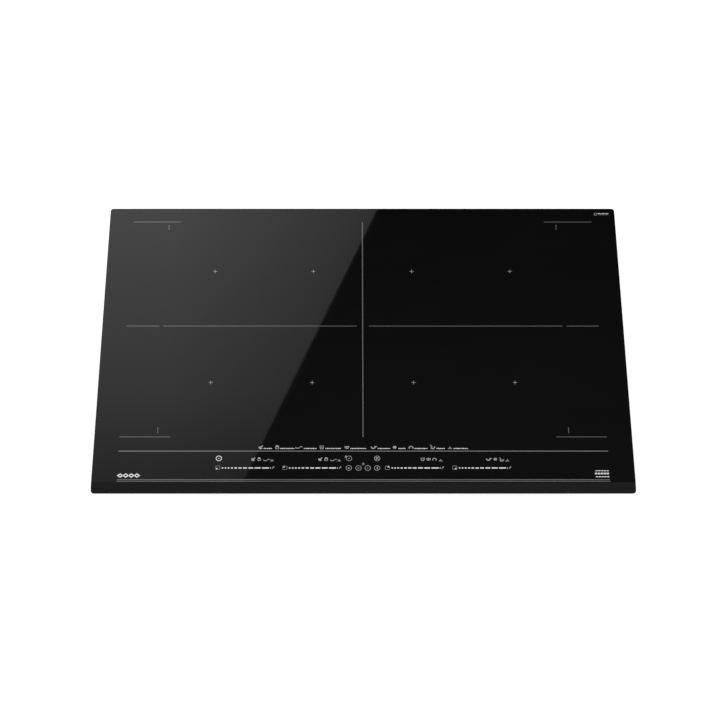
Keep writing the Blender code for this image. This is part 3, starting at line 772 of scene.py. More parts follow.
def dash_spans(start):
    """Dash number n is 2.2 mm plus a tenth of n squared long, with 2.1 mm between dashes."""
    number = np.arange(DASHES)
    lengths = 2.2 + 0.1 * number ** 2
    begins = start + np.concatenate([[0.0], np.cumsum(lengths + 2.1)[:-1]])
    return np.stack([begins, begins + lengths], 1)


def boost_mark(x, y):
    """A leaning stem with a small flag."""
    stem = stroke([(x - 0.9, y - 1.9), (x + 0.2, y + 1.3)], 0.8)
    flag = stroke([(x - 0.3, y + 1.3), (x + 1.4, y + 1.3), (x + 0.8, y - 0.1)], 1.0)
    return [stem, flag]


for number, (x, dot_x, dot_y) in enumerate(SLIDERS, 1):
    dashes = [bar(low, high, DASH_Y, 2.0) for low, high in dash_spans(x + 6.0)]
    dashes.append(bar(x + 77.0, x + 78.2, DASH_Y, 1.7))
    dashes.append(dot(x + dot_x * 1.3, SLIDER_Y + dot_y * 1.4, 1.1))
    printed(f"slider_{number}_dashes", dashes, INK_WHITE)
    square = rounded_outline(3.1, 2.9, 0.9, (x, SLIDER_Y), 3)
    printed(f"slider_{number}_zone_square", [stroke(square, 0.6, closed=True)], INK_SQUARE)
    printed(f"slider_{number}_boost_mark", boost_mark(x + 81.2, SLIDER_Y + 0.1), INK_LIGHT)
print("dash lengths", np.round(np.diff(dash_spans(0.0)).ravel(), 1))

# %% Keys
UPPER_KEYS, LOWER_KEYS = -197.9, -214.1
KEY_RADIUS, KEY_LINE = 4.05, 0.62
POWER_X, TIMER_X, CANCEL_X = -213.5, -21.1, 20.5
LOCK_X, LESS_X, MORE_X, PAUSE_X = -21.4, -7.1, 6.5, 20.4
CANCEL_ARM = 2.2
printed("power_key", [ring_stroke(POWER_X, UPPER_KEYS, 4.0, 1.15), dot(POWER_X, UPPER_KEYS, 0.85)], INK_WHITE)

key_rings = [ring_stroke(x, UPPER_KEYS, KEY_RADIUS, KEY_LINE) for x in (TIMER_X, CANCEL_X)]
key_rings += [ring_stroke(x, LOWER_KEYS, KEY_RADIUS, KEY_LINE) for x in (LOCK_X, LESS_X, MORE_X, PAUSE_X)]
for rise in (-CANCEL_ARM, CANCEL_ARM):
    diagonal = [(CANCEL_X - CANCEL_ARM, UPPER_KEYS - rise), (CANCEL_X + CANCEL_ARM, UPPER_KEYS + rise)]
    key_rings.append(stroke(diagonal, 1.1))
key_rings.append(level(LESS_X - 1.5, LESS_X + 1.5, LOWER_KEYS, 0.7))
key_rings.append(stroke([(-1.6, -207.3), (0.0, -205.6), (1.6, -207.3), (0.0, -209.0)], 0.55, closed=True))
printed("round_keys", key_rings, INK_LIGHT)

key_marks = [dot(TIMER_X, UPPER_KEYS, 0.8), dot(LOCK_X, LOWER_KEYS - 0.3, 1.25), dot(MORE_X, LOWER_KEYS, 0.7),
             bar(20.0, 21.4, LOWER_KEYS, 4.0), bar(-27.0, -24.4, -195.6, 2.6),
             arc_stroke(-25.7, -194.2, 0.9, 0, 180, 0.5, 8)]
printed("key_marks", key_marks, INK_LIGHT)
print("keys and marks", len(key_rings), len(key_marks))

# %% [markdown]
# ### Signs for the cooking functions
#
# Small drawings of pans, pots, bowls and lids show the functions. Each is written down as a few
# strokes in units of its own size, so the same sign serves at two sizes. Beside each sign in the
# long row stand plain bars in place of its word.

# %% Signs
# An arc has its middle, radius, start, end, width and number of steps; a line its two ends, height and
# width; a path its points and width; a bar its two ends, height and thickness; a dot its middle and
# radius.
PETALS = [("dot", 0.27 * math.cos(turn), 0.24 * math.sin(turn), 0.13) for turn in np.arange(6) * np.pi / 3]
SIGNS = {
    "pan": (("arc", -0.1, 0.15, 0.42, 180, 360, 0.22, 12), ("line", 0.1, 0.7, 0.2, 0.14)),
    "pot": (("path", (-0.34, 0.02), (-0.30, -0.34), (0.30, -0.34), (0.34, 0.02), 0.11),
            ("bar", -0.36, 0.36, 0.16, 0.24), ("bar", -0.24, 0.24, 0.36, 0.18)),
    "skillet": (("path", (-0.6, 0.02), (-0.5, -0.2), (0.1, -0.2), (0.22, 0.0), 0.14),
                ("line", 0.28, 0.85, 0.12, 0.12)),
    "tilted": (("arc", 0.0, 0.0, 0.34, 150, 330, 0.20, 10), ("path", (0.08, 0.12), (0.46, 0.40), 0.18),
               ("dot", -0.04, -0.04, 0.22)),
    "steam": (("dot", -0.36, 0.32, 0.08), ("dot", -0.12, 0.32, 0.08), ("dot", 0.12, 0.32, 0.08),
              ("dot", 0.36, 0.32, 0.08), ("arc", 0.0, 0.0, 0.38, 190, 350, 0.14, 12),
              ("line", -0.45, 0.45, 0.06, 0.12)),
    "bowl": (("arc", 0.0, 0.12, 0.40, 180, 360, 0.15, 12), ("line", -0.46, 0.46, 0.18, 0.14),
             ("dot", 0.0, -0.02, 0.12)),
    "flower": (*PETALS, ("dot", 0.0, 0.0, 0.12)),
    "lid": (("arc", 0.0, -0.18, 0.42, 0, 180, 0.17, 12), ("line", -0.52, -0.22, -0.22, 0.12),
            ("line", 0.22, 0.52, -0.22, 0.12)),
    "whisk": (("path", (-0.4, 0.55), (-0.05, 0.02), 0.16),
              ("path", (-0.3, -0.02), (-0.18, -0.28), (0.22, -0.28), (0.55, 0.14), 0.2)),
    "warm": (("arc", 0.0, -0.25, 0.2, 10, 170, 0.1, 8), ("line", -0.42, 0.42, -0.3, 0.1),
             ("dot", 0.0, 0.1, 0.07))}


def sign_strokes(name, x, y, size):
    """The strokes of one sign, brought to a size and moved to a place."""
    made = []
    for kind, *values in SIGNS[name]:
        if kind == "arc":
            across, up, radius, start, end, width, steps = values
            made.append(arc_stroke(x + across * size, y + up * size, radius * size, start, end,
                                   width * size, steps))
        elif kind == "path":
            points = [(x + across * size, y + up * size) for across, up in values[:-1]]
            made.append(stroke(points, values[-1] * size))
        elif kind == "dot":
            across, up, radius = values
            made.append(dot(x + across * size, y + up * size, radius * size))
        else:
            low, high, up, width = values
            draw = level if kind == "line" else bar
            made.append(draw(x + low * size, x + high * size, y + up * size, width * size))
    return made


print("signs:", sorted(SIGNS))

# %% The long row of signs
# Each entry gives a sign, its x, and where the bars beside it begin and end.
ROW = (("tilted", -152.0, -147.5, -134.9), ("pot", -127.6, -123.2, -102.2), ("skillet", -96.0, -88.2, -69.2),
       ("steam", -61.5, -56.0, -32.3), ("bowl", -24.4, -19.3, 4.2), ("pan", 15.6, 21.4, 39.8),
       ("flower", 46.6, 52.2, 62.5), ("lid", 70.8, 75.9, 95.2), ("whisk", 102.6, 108.3, 121.8),
       ("warm", 128.6, 133.9, 155.2))
ROW_Y, ROW_SIZE = -179.2, 7.2
BAR_Y, BAR_GAP = ROW_Y - 2.0, 0.45
row_signs, row_bars = [], []
for name, x, bars_begin, bars_end in ROW:
    row_signs += sign_strokes(name, x, ROW_Y, ROW_SIZE)
    begin, number = bars_begin, len(row_bars)
    while begin < bars_end - 1.0:
        length = min(1.5 + 0.5 * (number * 5 % 4), bars_end - begin)
        row_bars.append(bar(begin, begin + length, BAR_Y, 1.15 if number % 3 else 1.5))
        begin += length + BAR_GAP
        number += 1
printed("function_signs", row_signs, INK_LIGHT)
printed("function_bars", row_bars, INK_WHITE)
print("signs", len(ROW), "bars", len(row_bars))

# %% Small signs over each slider
LEFT_SET = ((51.9, "tilted"), (60.8, "pot"), (71.2, "skillet"), (79.8, "warm"))
SMALL_SETS = (LEFT_SET, LEFT_SET,
              ((52.2, "steam"), (60.9, "bowl"), (69.7, "lid"), (78.7, "warm")),
              ((50.6, "pan"), (60.2, "flower"), (69.3, "whisk"), (77.9, "warm")))
SMALL_Y, SMALL_SIZE = -199.3, 6.6
LOW_SIGNS, LOW_Y = ("skillet", "warm", "whisk"), -200.4
for number, ((x, _, _), signs) in enumerate(zip(SLIDERS, SMALL_SETS), 1):
    small = []
    for offset, name in signs:
        small += sign_strokes(name, x + offset, LOW_Y if name in LOW_SIGNS else SMALL_Y, SMALL_SIZE)
    printed(f"slider_{number}_signs", small, INK_LIGHT)
print("small signs", sum(len(signs) for signs in SMALL_SETS))

# %% [markdown]
# ### Marks in the corners
#
# Where a maker would put a name there is a plain row of diamonds, and where small print would stand
# there are bars.

# %% Diamonds
DIAMOND_X, DIAMOND_Y = -361.9, -226.7
DIAMOND_WIDE, DIAMOND_TALL = 8.2, 5.4
diamonds = []
for number in range(4):
    left = DIAMOND_X + number * DIAMOND_WIDE
    middle, right = left + DIAMOND_WIDE / 2, left + DIAMOND_WIDE
    corners = [(left + 0.6, DIAMOND_Y), (middle, DIAMOND_Y - DIAMOND_TALL / 2), (right - 0.6, DIAMOND_Y),
               (middle, DIAMOND_Y + DIAMOND_TALL / 2)]
    diamonds.append(stroke(corners, 1.7, closed=True))
printed("diamond_mark", diamonds, INK_WHITE)
print("diamonds", len(diamonds))

# %% Bars in the right-hand corners
FRONT_ROWS = ((-218.7, 1.3, 341.9, 361.4), (-223.3, 2.6, 340.9, 361.6), (-228.7, 1.5, 341.9, 361.9))
FRONT_GAP = 0.8
front_bars = []
for y, height, begin, end in FRONT_ROWS:
    cuts = np.linspace(begin, end + FRONT_GAP, 6)
    front_bars += [bar(low, high - FRONT_GAP, y, height) for low, high in zip(cuts, cuts[1:])]
printed("front_corner_bars", front_bars, INK_WHITE)

back_bars = [bar(low, low + 5.2, 245.4, 1.0) for low in (373.4, 379.3, 385.2)]
printed("back_corner_bars", back_bars, INK_WHITE)
back_frame = stroke(rounded_outline(2.0, 1.9, 0.4, (369.8, 244.3), 2), 0.6, closed=True)
printed("back_corner_mark", [back_frame, bar(374.6, 389.6, 243.2, 0.6)], INK_LIGHT)
print("corner bars", len(front_bars) + len(back_bars))

# %% [markdown]
# ## Finishes of the hidden and lower pieces
#
# Below the glass every material has its own habit: zinc sheet shows crystals, rolled aluminium fine
# lines, moulded plastic a pebble, mica small flakes, a circuit board its tracks, and a litz bundle
# the lay of its twisted wires. The last three need patterns of their own, so three more groups are
# built first.


# %% Flakes, traces and twist
def make_flakes():
    """Mica paper: small overlapping flakes, each with its own tone, and a finer glitter."""
    group, entry, leave, place = effect("mica_flakes", [("Scale", 260.0)], ["Tone", "Height"])
    flakes = random_cells(group, place, entry.outputs["Scale"])
    broad = noise(group, place, 30.0, 4.0)
    return give_out(group, leave, flakes[0], 0.45, broad, 0.55, flakes[1])


def make_traces():
    """A circuit board: square-cornered cells whose borders stand out as copper tracks under varnish."""
    group, entry, leave, place = effect("board_traces", [("Scale", 190.0)], ["Tone", "Height"])
    cells = group.nodes.new("ShaderNodeTexVoronoi")
    cells.distance = "MANHATTAN"
    cells.feature = "F1"
    group.links.new(place, cells.inputs["Vector"])
    group.links.new(entry.outputs["Scale"], cells.inputs["Scale"])
    step = maths(group, "FRACT", maths(group, "MULTIPLY", cells.outputs["Distance"], 3.0))
    track = maths(group, "GREATER_THAN", step, 0.62)
    broad = noise(group, place, 25.0, 2.0)
    return give_out(group, leave, track, 0.45, broad, 0.50, track)


def make_twist():
    """Twisted wires: a wave over the way along the bundle plus the way round it, from an attribute."""
    group, entry, leave, place = effect("twisted_wires", [("Wires", 4.0), ("Lay", 75.0)], ["Tone", "Height"])
    source = group.nodes.new("ShaderNodeAttribute")
    source.attribute_name = "strand"
    split = group.nodes.new("ShaderNodeSeparateXYZ")
    group.links.new(source.outputs["Vector"], split.inputs[0])
    phase = maths(group, "ADD", maths(group, "MULTIPLY", split.outputs[0], entry.outputs["Lay"]),
                  maths(group, "MULTIPLY", split.outputs[1], entry.outputs["Wires"]))
    wave = maths(group, "ABSOLUTE", maths(group, "SINE", maths(group, "MULTIPLY", phase, math.pi)))
    broad = noise(group, place, 60.0, 2.0)
    return give_out(group, leave, wave, 0.7, broad, 0.3, wave)


EFFECTS.update(flakes=make_flakes(), traces=make_traces(), twist=make_twist())
print("effects:", sorted(EFFECTS))

# %% Finishes by name: metals
HAIRLINE = 0.000004
ZINC = finish("zinc_sheet", "spangle", grey(0.46), grey(0.55, (0.98, 1.0, 1.02)), (0.30, 0.42),
              bump=HAIRLINE, settings=(("Scale", 230.0),), Metallic=1.0)
SCREW_STEEL = finish("screw_steel", "brushed", grey(0.40), grey(0.58), (0.22, 0.38),
                     bump=HAIRLINE, Metallic=1.0)
SPRING_STEEL = finish("spring_steel", "brushed", grey(0.22), grey(0.36, (1.0, 0.98, 0.94)), (0.22, 0.40),
                      bump=HAIRLINE, Metallic=1.0)
ALUMINIUM = finish("rolled_aluminium", "brushed", grey(0.62), grey(0.78), (0.26, 0.42),
                   bump=0.000005, Metallic=1.0)
BRASS = finish("brass", "brushed", (0.46, 0.30, 0.10), (0.68, 0.48, 0.20), (0.22, 0.40),
               bump=HAIRLINE, Metallic=1.0)
LITZ = finish("copper_litz", "twist", (0.30, 0.085, 0.030), (0.80, 0.36, 0.17), (0.26, 0.44),
              bump=0.00025, Metallic=1.0)
COPPER = finish("enamelled_copper", "brushed", (0.38, 0.12, 0.04), (0.66, 0.27, 0.11), (0.18, 0.32),
                Metallic=1.0)
print("metals ready")

# %% Finishes by name: plastics and the rest
FOAM = finish("seal_foam", "grain", grey(0.012), grey(0.035), (0.80, 0.98),
              bump=0.00012, settings=(("Scale", 1400.0),))
SILICONE = finish("black_silicone", "grain", grey(0.016), grey(0.030), (0.34, 0.52),
                  bump=0.00003, settings=(("Scale", 300.0),))
MICA = finish("mica_paper", "flakes", (0.30, 0.24, 0.15), (0.58, 0.50, 0.36), (0.30, 0.62), bump=0.00002)
BLACK_PLASTIC = finish("moulded_black_plastic", "grain", grey(0.012), grey(0.026), (0.36, 0.54),
                       bump=0.00003, settings=(("Scale", 1100.0),))
WHITE_PLASTIC = finish("moulded_white_plastic", "grain", (0.56, 0.55, 0.52), (0.70, 0.69, 0.66), (0.40, 0.58),
                       bump=0.00002, settings=(("Scale", 900.0),))
BOARD = finish("green_board", "traces", (0.006, 0.050, 0.022), (0.020, 0.120, 0.050), (0.24, 0.42),
               bump=0.00003)
FERRITE = finish("ferrite", "grain", grey(0.020), grey(0.050, (1.0, 0.97, 0.95)), (0.45, 0.70),
                 bump=0.00004, settings=(("Scale", 700.0),))
CREAM = finish("capacitor_shell", "grain", (0.50, 0.47, 0.36), (0.62, 0.58, 0.46), (0.30, 0.44), bump=0.00002)
print("finishes", len(bpy.data.materials))


# %% Dressing the pieces that keep their own mesh
def dress(finish_of_piece, *starts):
    """Gives a finish to every loaded node whose name starts with one of the words."""
    dressed = [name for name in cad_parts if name.startswith(starts)]
    for name in dressed:
        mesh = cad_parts[name].data
        if not mesh.materials:
            mesh.materials.append(finish_of_piece)
        for number in range(len(mesh.materials)):
            mesh.materials[number] = finish_of_piece
    print(finish_of_piece.name, "on", len(dressed), "pieces")


dress(ALUMINIUM, "deck_plate", "heatsink")
dress(MICA, "mica_sheet")
dress(BLACK_PLASTIC, "coil_former", "fan_housing", "terminal_block")
dress(WHITE_PLASTIC, "temperature_sensor")
dress(BOARD, "touch_board")
dress(WHITE_PLASTIC, "touch_board_carrier")
dress(ZINC, "glass_frame")

# %% [markdown]
# ## Seal and adhesive
#
# The foam strip lies on the worktop and keeps water out. Silicone glues the glass to the steel frame.
# Both are closed loops, so each is a band: its section has broken corners, and the outline runs once
# round the hob.


# %% Seal and bead
def box_middle(name):
    """The corners of a node's box, then its middle and its half sizes."""
    low, high = box_of(name)
    return low, high, (low + high) / 2, (high - low) / 2


def soft_band(name, width, radius, edge, finish_of_piece):
    """A closed strip inside the box of its node, as wide as given at the sides and at the ends."""
    low, high, middle, half = box_middle(name)
    outer = rounded_outline(half[0], half[1], radius, middle[:2], 8)
    inner_corner = max(radius - width[0], 1 * MM)
    inner = rounded_outline(half[0] - width[0], half[1] - width[1], inner_corner, middle[:2], 8)
    strip = band(outer, inner, low[2], high[2], edge)
    return make(name + "_strip", strip, finish_of_piece, "hob", name)


seal = soft_band("perimeter_seal", mm(7, 7), 8 * MM, 0.7 * MM, FOAM)
bead = soft_band("adhesive_bead", mm(11, 4), 12 * MM, 0.5 * MM, SILICONE)
print("faces of seal and bead", len(seal.data.polygons), len(bead.data.polygons))

# %% [markdown]
# ## The pressed tray
#
# The casing is one sheet of zinc-coated steel, pressed deep behind and shallow in front, where only
# the touch board needs room. Pressing gives it round corners, and beads pressed down stiffen its large
# floor. The way to it here is the way of a mould: a solid outer form, less a smaller inner form,
# leaves the sheet. Then the beads are added and the openings are cut, each with one Boolean.


# %% Boolean helpers
def carve(part, steps):
    """Works out a row of joins and cuts, given as (operation, part) pairs, and returns the mesh left."""
    base = plain_object("workpiece", part)
    tools = []
    for operation, tool_part in steps:
        tool = plain_object("tool", tool_part)
        change = base.modifiers.new(operation.lower(), "BOOLEAN")
        change.operation, change.solver, change.object = operation, "EXACT", tool
        tools.append(tool)
    graph = bpy.context.evaluated_depsgraph_get()
    result = bpy.data.meshes.new_from_object(base.evaluated_get(graph))
    for obj in (base, *tools):
        old = obj.data
        bpy.data.objects.remove(obj)
        bpy.data.meshes.remove(old)
    return result


def make_from_mesh(name, mesh, finish_of_piece, body, replaces=None, smooth=30.0):
    """The same finishing as for arrays, for a mesh that a Boolean left; flat faces keep flat shading."""
    mesh.materials.clear()
    mesh.materials.append(finish_of_piece)
    shade_by_angle(mesh, smooth)
    obj = bpy.data.objects.new(name, mesh)
    scene.collection.objects.link(obj)
    even = obj.modifiers.new("even_normals", "WEIGHTED_NORMAL")
    even.keep_sharp = True
    even.weight = 100
    return tell_frame(obj, body, replaces)


print("boolean helpers ready")

# %% Forms of the tray
tray_low, tray_high = box_of("base_tray")
SHEET = 1.0 * MM
BEAD_DEPTH = 1.6 * MM
FLOOR_SHEET = 0.5 * MM
WALL_X, WALL_BACK, STEP_Y, SHALLOW_Y = 352 * MM, 234 * MM, -200 * MM, -236 * MM
SHALLOW_Z = 30 * MM
FLANGE_LOW = tray_high[2] - SHEET


def footed_block(middle, half, floor, corner, foot, wall):
    """Rings rise through a quarter turn of radius foot, then go straight up. An outer form, whose wall
    is 0, ends inside the flange, and an inner form ends well above it."""
    top = tray_high[2] + (10 * MM if wall else -0.5 * SHEET)
    rings = []
    for turn in np.linspace(0.0, np.pi / 2, 6):
        drawn_in = foot * (1 - math.sin(turn))
        outline = rounded_outline(half[0] - drawn_in, half[1] - drawn_in, corner - drawn_in, middle, 6)
        rings.append(at_height(outline, floor + foot * (1 - math.cos(turn))))
    rings.append(at_height(rounded_outline(*half, corner, middle, 6), top))
    return stack(rings)


def well_form(wall, floor, corner, foot):
    """The deep block behind, drawn in by the thickness of the wall."""
    half = (WALL_X - wall, (WALL_BACK - STEP_Y) / 2 - wall)
    return footed_block((0.0, (WALL_BACK + STEP_Y) / 2), half, floor, corner, foot, wall)


def shallow_form(wall, floor, corner, foot):
    """The shallow block in front, which runs back into the deep one."""
    back = STEP_Y + 30 * MM
    half = (WALL_X - wall, (back - SHALLOW_Y - wall) / 2)
    return footed_block((0.0, (SHALLOW_Y + wall + back) / 2), half, floor, corner, foot, wall)


flange_middle = (0.0, (tray_low[1] + tray_high[1]) / 2)
flange_outline = rounded_outline(tray_high[0], (tray_high[1] - tray_low[1]) / 2, 9 * MM, flange_middle, 8)
flange_form = slab(flange_outline, FLANGE_LOW, tray_high[2], 0.2 * MM)
print("tray sheet", SHEET / MM, "mm; beads stand", BEAD_DEPTH / MM, "mm below its floor")


# %% Pressed beads
def bead_form(half_x, half_y, centre, top):
    """A pressed bead: a pill-shaped ring stack whose flanks follow half a cosine."""
    radius = min(half_x, half_y)
    rings = []
    for part in np.linspace(0.0, 1.0, 7):
        spread = -3.0 * MM * math.acos(2 * part - 1) / math.pi
        outline = rounded_outline(half_x + spread, half_y + spread, radius + spread, centre, 6)
        rings.append(at_height(outline, tray_low[2] + part * BEAD_DEPTH))
    rings.append(at_height(rounded_outline(half_x, half_y, radius, centre, 6), top))
    return stack(rings)


BEAD_TOP = tray_low[2] + BEAD_DEPTH + 0.25 * MM
beads = [bead_form(70 * MM, 9 * MM, (0.0, y * MM), BEAD_TOP) for y in (-150, -100, 60, 110)]
for side in (-1, 1):
    beads += [bead_form(100 * MM, 9 * MM, (side * 222 * MM, y * MM), BEAD_TOP)
              for y in (-165, -120, -75, -30, 15)]
    beads.append(bead_form(9 * MM, 48 * MM, (side * 135 * MM, 140 * MM), BEAD_TOP))
    beads.append(bead_form(8 * MM, 48 * MM, (side * 328 * MM, 140 * MM), BEAD_TOP))
print("beads", len(beads))


# %% Vents
def wall_cutter(outline, wall_y, low, high):
    """A prism laid on its back: it runs along +Y through a wall, and its outline's own y points down."""
    points, faces = prism(outline, low, high)
    return np.stack([points[:, 0], wall_y + points[:, 2], -points[:, 1]], 1), faces


fan_low, fan_high = box_of("fan_housing_right")
FAN_X = (fan_low[0] + fan_high[0]) / 2
FAN_Y = fan_high[1] - (fan_high[0] - fan_low[0]) / 2
INLET_RADIUS, INLET_PITCH = 34 * MM, 10 * MM
OUTLETS, OUTLET_START, OUTLET_PITCH = 10, 150, 16
vents = []
for side in (-1, 1):
    for row in range(-3, 4):
        off = row * INLET_PITCH
        half = math.sqrt(max(INLET_RADIUS ** 2 - off ** 2, INLET_PITCH ** 2))
        slot_outline = rounded_outline(half, 2.5 * MM, 2.4 * MM, (side * FAN_X, FAN_Y + off), 5)
        vents.append(prism(slot_outline, -5 * MM, 6 * MM))
    for column in range(OUTLETS):
        x = side * (OUTLET_START + column * OUTLET_PITCH) * MM
        slot_outline = rounded_outline(4 * MM, 10 * MM, 3.9 * MM, (x, -16 * MM), 5)
        vents.append(wall_cutter(slot_outline, STEP_Y, -8 * MM, 8 * MM))
print("vent slots", len(vents))


# %% Door, lugs and bores
def upright_rod(centre, radius, low, high, steps=20):
    return prism(circle_outline(radius, centre, steps), low, high)


def level_rod(centre, radius, half_length, axis, steps=20):
    return lathe([(0.0, -half_length), (radius, -half_length), (radius, half_length), (0.0, half_length)],
                 centre, steps, axis)


CLAMPS = [f"{side}_{end}" for side in ("left", "right") for end in ("front", "back")]
lid_low, lid_high = box_of("terminal_lid")
LID_X = (lid_low[0] + lid_high[0]) / 2
LID_AXIS_Y, LID_AXIS_Z = 237.5 * MM, lid_low[2] + 33.5 * MM
lid_axis = (LID_X, LID_AXIS_Y, LID_AXIS_Z)
grip_low, grip_high = box_of("cord_grip")
grip_middle = (grip_low + grip_high) / 2
grip_place = (grip_middle[0], WALL_BACK, grip_middle[2])

lugs = []
for end in (-1, 1):
    x = LID_X + end * 47.5 * MM
    lug_outline = rounded_outline(4.2 * MM, 4.0 * MM, 3.6 * MM, (236.3 * MM, LID_AXIS_Z), 6)
    flat, faces = prism(lug_outline, x - 2 * MM, x + 2 * MM)
    lugs.append((np.stack([flat[:, 2], flat[:, 0], flat[:, 1]], 1), faces))
door_outline = rounded_outline(36 * MM, 12 * MM, 3 * MM, (LID_X, -26 * MM), 6)
door = wall_cutter(door_outline, WALL_BACK, -8 * MM, 2 * MM)
clamp_holes = []
for clamp in CLAMPS:
    low, high = box_of(f"clamp_screw_{clamp}")
    clamp_holes.append(upright_rod((low + high)[:2] / 2, 3.3 * MM, 45 * MM, 60 * MM))
print("lugs", len(lugs), "clamp holes", len(clamp_holes))

# %% The tray itself
floor_z = tray_low[2] + BEAD_DEPTH
steps = [("UNION", shallow_form(0.0, SHALLOW_Z, 9 * MM, 3.5 * MM)), ("UNION", flange_form),
         ("DIFFERENCE", well_form(SHEET, floor_z + FLOOR_SHEET, 10 * MM, 3.0 * MM)),
         ("DIFFERENCE", shallow_form(SHEET, SHALLOW_Z + SHEET, 8 * MM, 2.5 * MM)),
         ("UNION", merge(*beads)), ("UNION", merge(*lugs)),
         ("DIFFERENCE", merge(*vents)), ("DIFFERENCE", merge(*clamp_holes, door)),
         ("DIFFERENCE", level_rod(grip_place, 8.3 * MM, 6 * MM, "y")),
         ("DIFFERENCE", level_rod(lid_axis, 1.7 * MM, 60 * MM, "x"))]
tray_mesh = carve(well_form(0.0, floor_z, 11 * MM, 4.0 * MM), steps)
make_from_mesh("pressed_tray", tray_mesh, ZINC, "hob", "base_tray", 32.0)
points = np.array([v.co for v in tray_mesh.vertices])
print("tray faces", len(tray_mesh.polygons), "size in mm", np.round((points.max(0) - points.min(0)) / MM, 1))

# %% [markdown]
# ## Terminal lid and cord grip
#
# The lid snaps over the mains terminals and swings up on two pins. It is a thin moulding, so the real
# one has ribs against warping and a tab to pull. The cord grip is a nut with six flats on a sleeve.


# %% Lid
def stood_up(part, place):
    """Turns a flat part a quarter turn about X, so that its upper face looks to the front, and moves it."""
    verts, faces = part
    turned = np.stack([verts[:, 0], -verts[:, 2], verts[:, 1]], 1)
    return turned + np.array(place), faces


LID_HALF_X, LID_HALF_Y, LID_RIM = 43.7 * MM, 15.5 * MM, 1.6 * MM
LID_MIDDLE = (0.0, -16.5 * MM)
lid_outline = rounded_outline(LID_HALF_X, LID_HALF_Y, 3.5 * MM, LID_MIDDLE, 6)
lid_inner = rounded_outline(LID_HALF_X - LID_RIM, LID_HALF_Y - LID_RIM, 2.0 * MM, LID_MIDDLE, 6)
lid_plate = slab(lid_outline, -3 * MM, -1.0 * MM, 0.4 * MM)
lid_rim = band(lid_outline, lid_inner, -1.4 * MM, 0.0, 0.25 * MM)
lid_ribs = [cuboid(mm(x - 0.7, -29.0, -1.3), mm(x + 0.7, -5.0, -0.3), 0.25 * MM)
            for x in (-28.0, -14.0, 14.0, 28.0)]
tab_outline = rounded_outline(10 * MM, 2.2 * MM, 1.2 * MM, (0.0, -31.3 * MM), 4)
lid_tab = slab(tab_outline, -2.4 * MM, -0.6 * MM, 0.3 * MM)
# Its ribs face the tray, and its plain face looks outwards.
lid_standing = stood_up(merge(lid_plate, lid_rim, *lid_ribs, lid_tab), lid_axis)
PIN_END, BARREL_END = 49, 43.6
barrel_half = [(2.4, BARREL_END), (1.4, 44), (1.4, PIN_END), (0.0, PIN_END)]
barrel_profile = [(radius * MM, -x * MM) for radius, x in barrel_half[::-1]]
barrel_profile += [(radius * MM, x * MM) for radius, x in barrel_half]
lid_barrel = lathe(barrel_profile, lid_axis, 20, "x")
lid = make("terminal_lid_moulding", merge(lid_standing, lid_barrel), BLACK_PLASTIC, "lid",
           "terminal_lid")
print("lid faces", len(lid.data.polygons))


# %% Cord grip
def six_sided(flat, corner, steps=48):
    """Radius at each angle: the flats' distance over the cosine to the nearest flat, but no more than
    the corners' own."""
    turn = np.arange(steps) * 2 * np.pi / steps
    local = (turn + np.pi / 6) % (np.pi / 3) - np.pi / 6
    radius = np.minimum(flat / np.cos(local), corner)
    return np.stack([radius * np.cos(turn), radius * np.sin(turn)], 1)


def round_ring(radius, z):
    return at_height(circle_outline(radius * MM, steps=48), z * MM)


def nut_ring(flat, corner, z):
    return at_height(six_sided(flat * MM, corner * MM), z * MM)


# The rings run from the inner end of the sleeve over the nut and back to the mouth of the bore.
grip_rings = [round_ring(5.5, 12), round_ring(7.4, 12), round_ring(8.0, 11.2), round_ring(8.0, -0.3),
              nut_ring(9.4, 10.6, -0.3), nut_ring(9.9, 11.0, -0.8), nut_ring(9.9, 11.0, -2.2),
              nut_ring(9.0, 9.8, -3.0), round_ring(6.4, -3.0), round_ring(5.5, -2.2)]
grip_standing = stood_up(stack(grip_rings[::-1], closed=True), grip_place)
make("cord_grip_nut", grip_standing, BLACK_PLASTIC, "hob", "cord_grip", 28.0)
print("grip size in mm", np.round(np.ptp(grip_standing[0], axis=0) / MM, 1))

# %% [markdown]
# ## Worktop clamps
#
# Each clamp is a stamped arm on a long screw. Turning the screw first swings the arm out, then pulls
# it up against the worktop. The thread is one surface of two parameters, height and turn: the radius
# swings between root and crest as a triangle wave of height over pitch minus turn.


# %% Threaded screws
THREAD_PITCH = 1.25 * MM


def threaded_rod(centre, root, crest, low, high, sides=18, rows_per_turn=8):
    """Radius = root + (crest - root) x triangle wave of (z / pitch - turn / 2 pi), fading at both ends."""
    rows = int(round((high - low) / THREAD_PITCH * rows_per_turn)) + 1
    z, turn = np.meshgrid(np.linspace(low, high, rows), np.arange(sides) * 2 * np.pi / sides, indexing="ij")
    wave = 1 - np.abs(2 * ((z / THREAD_PITCH - turn / (2 * np.pi)) % 1.0) - 1)
    fade = np.clip(np.minimum(z - low, high - z) / (1.5 * MM), 0.0, 1.0)
    radius = root + (crest - root) * wave * fade
    return stack(np.stack([centre[0] + radius * np.cos(turn), centre[1] + radius * np.sin(turn), z], -1))


def moved(part, centre):
    """A part made round the Z axis, moved sideways to its own axis."""
    points, faces = part
    return points + np.array([centre[0], centre[1], 0.0]), faces


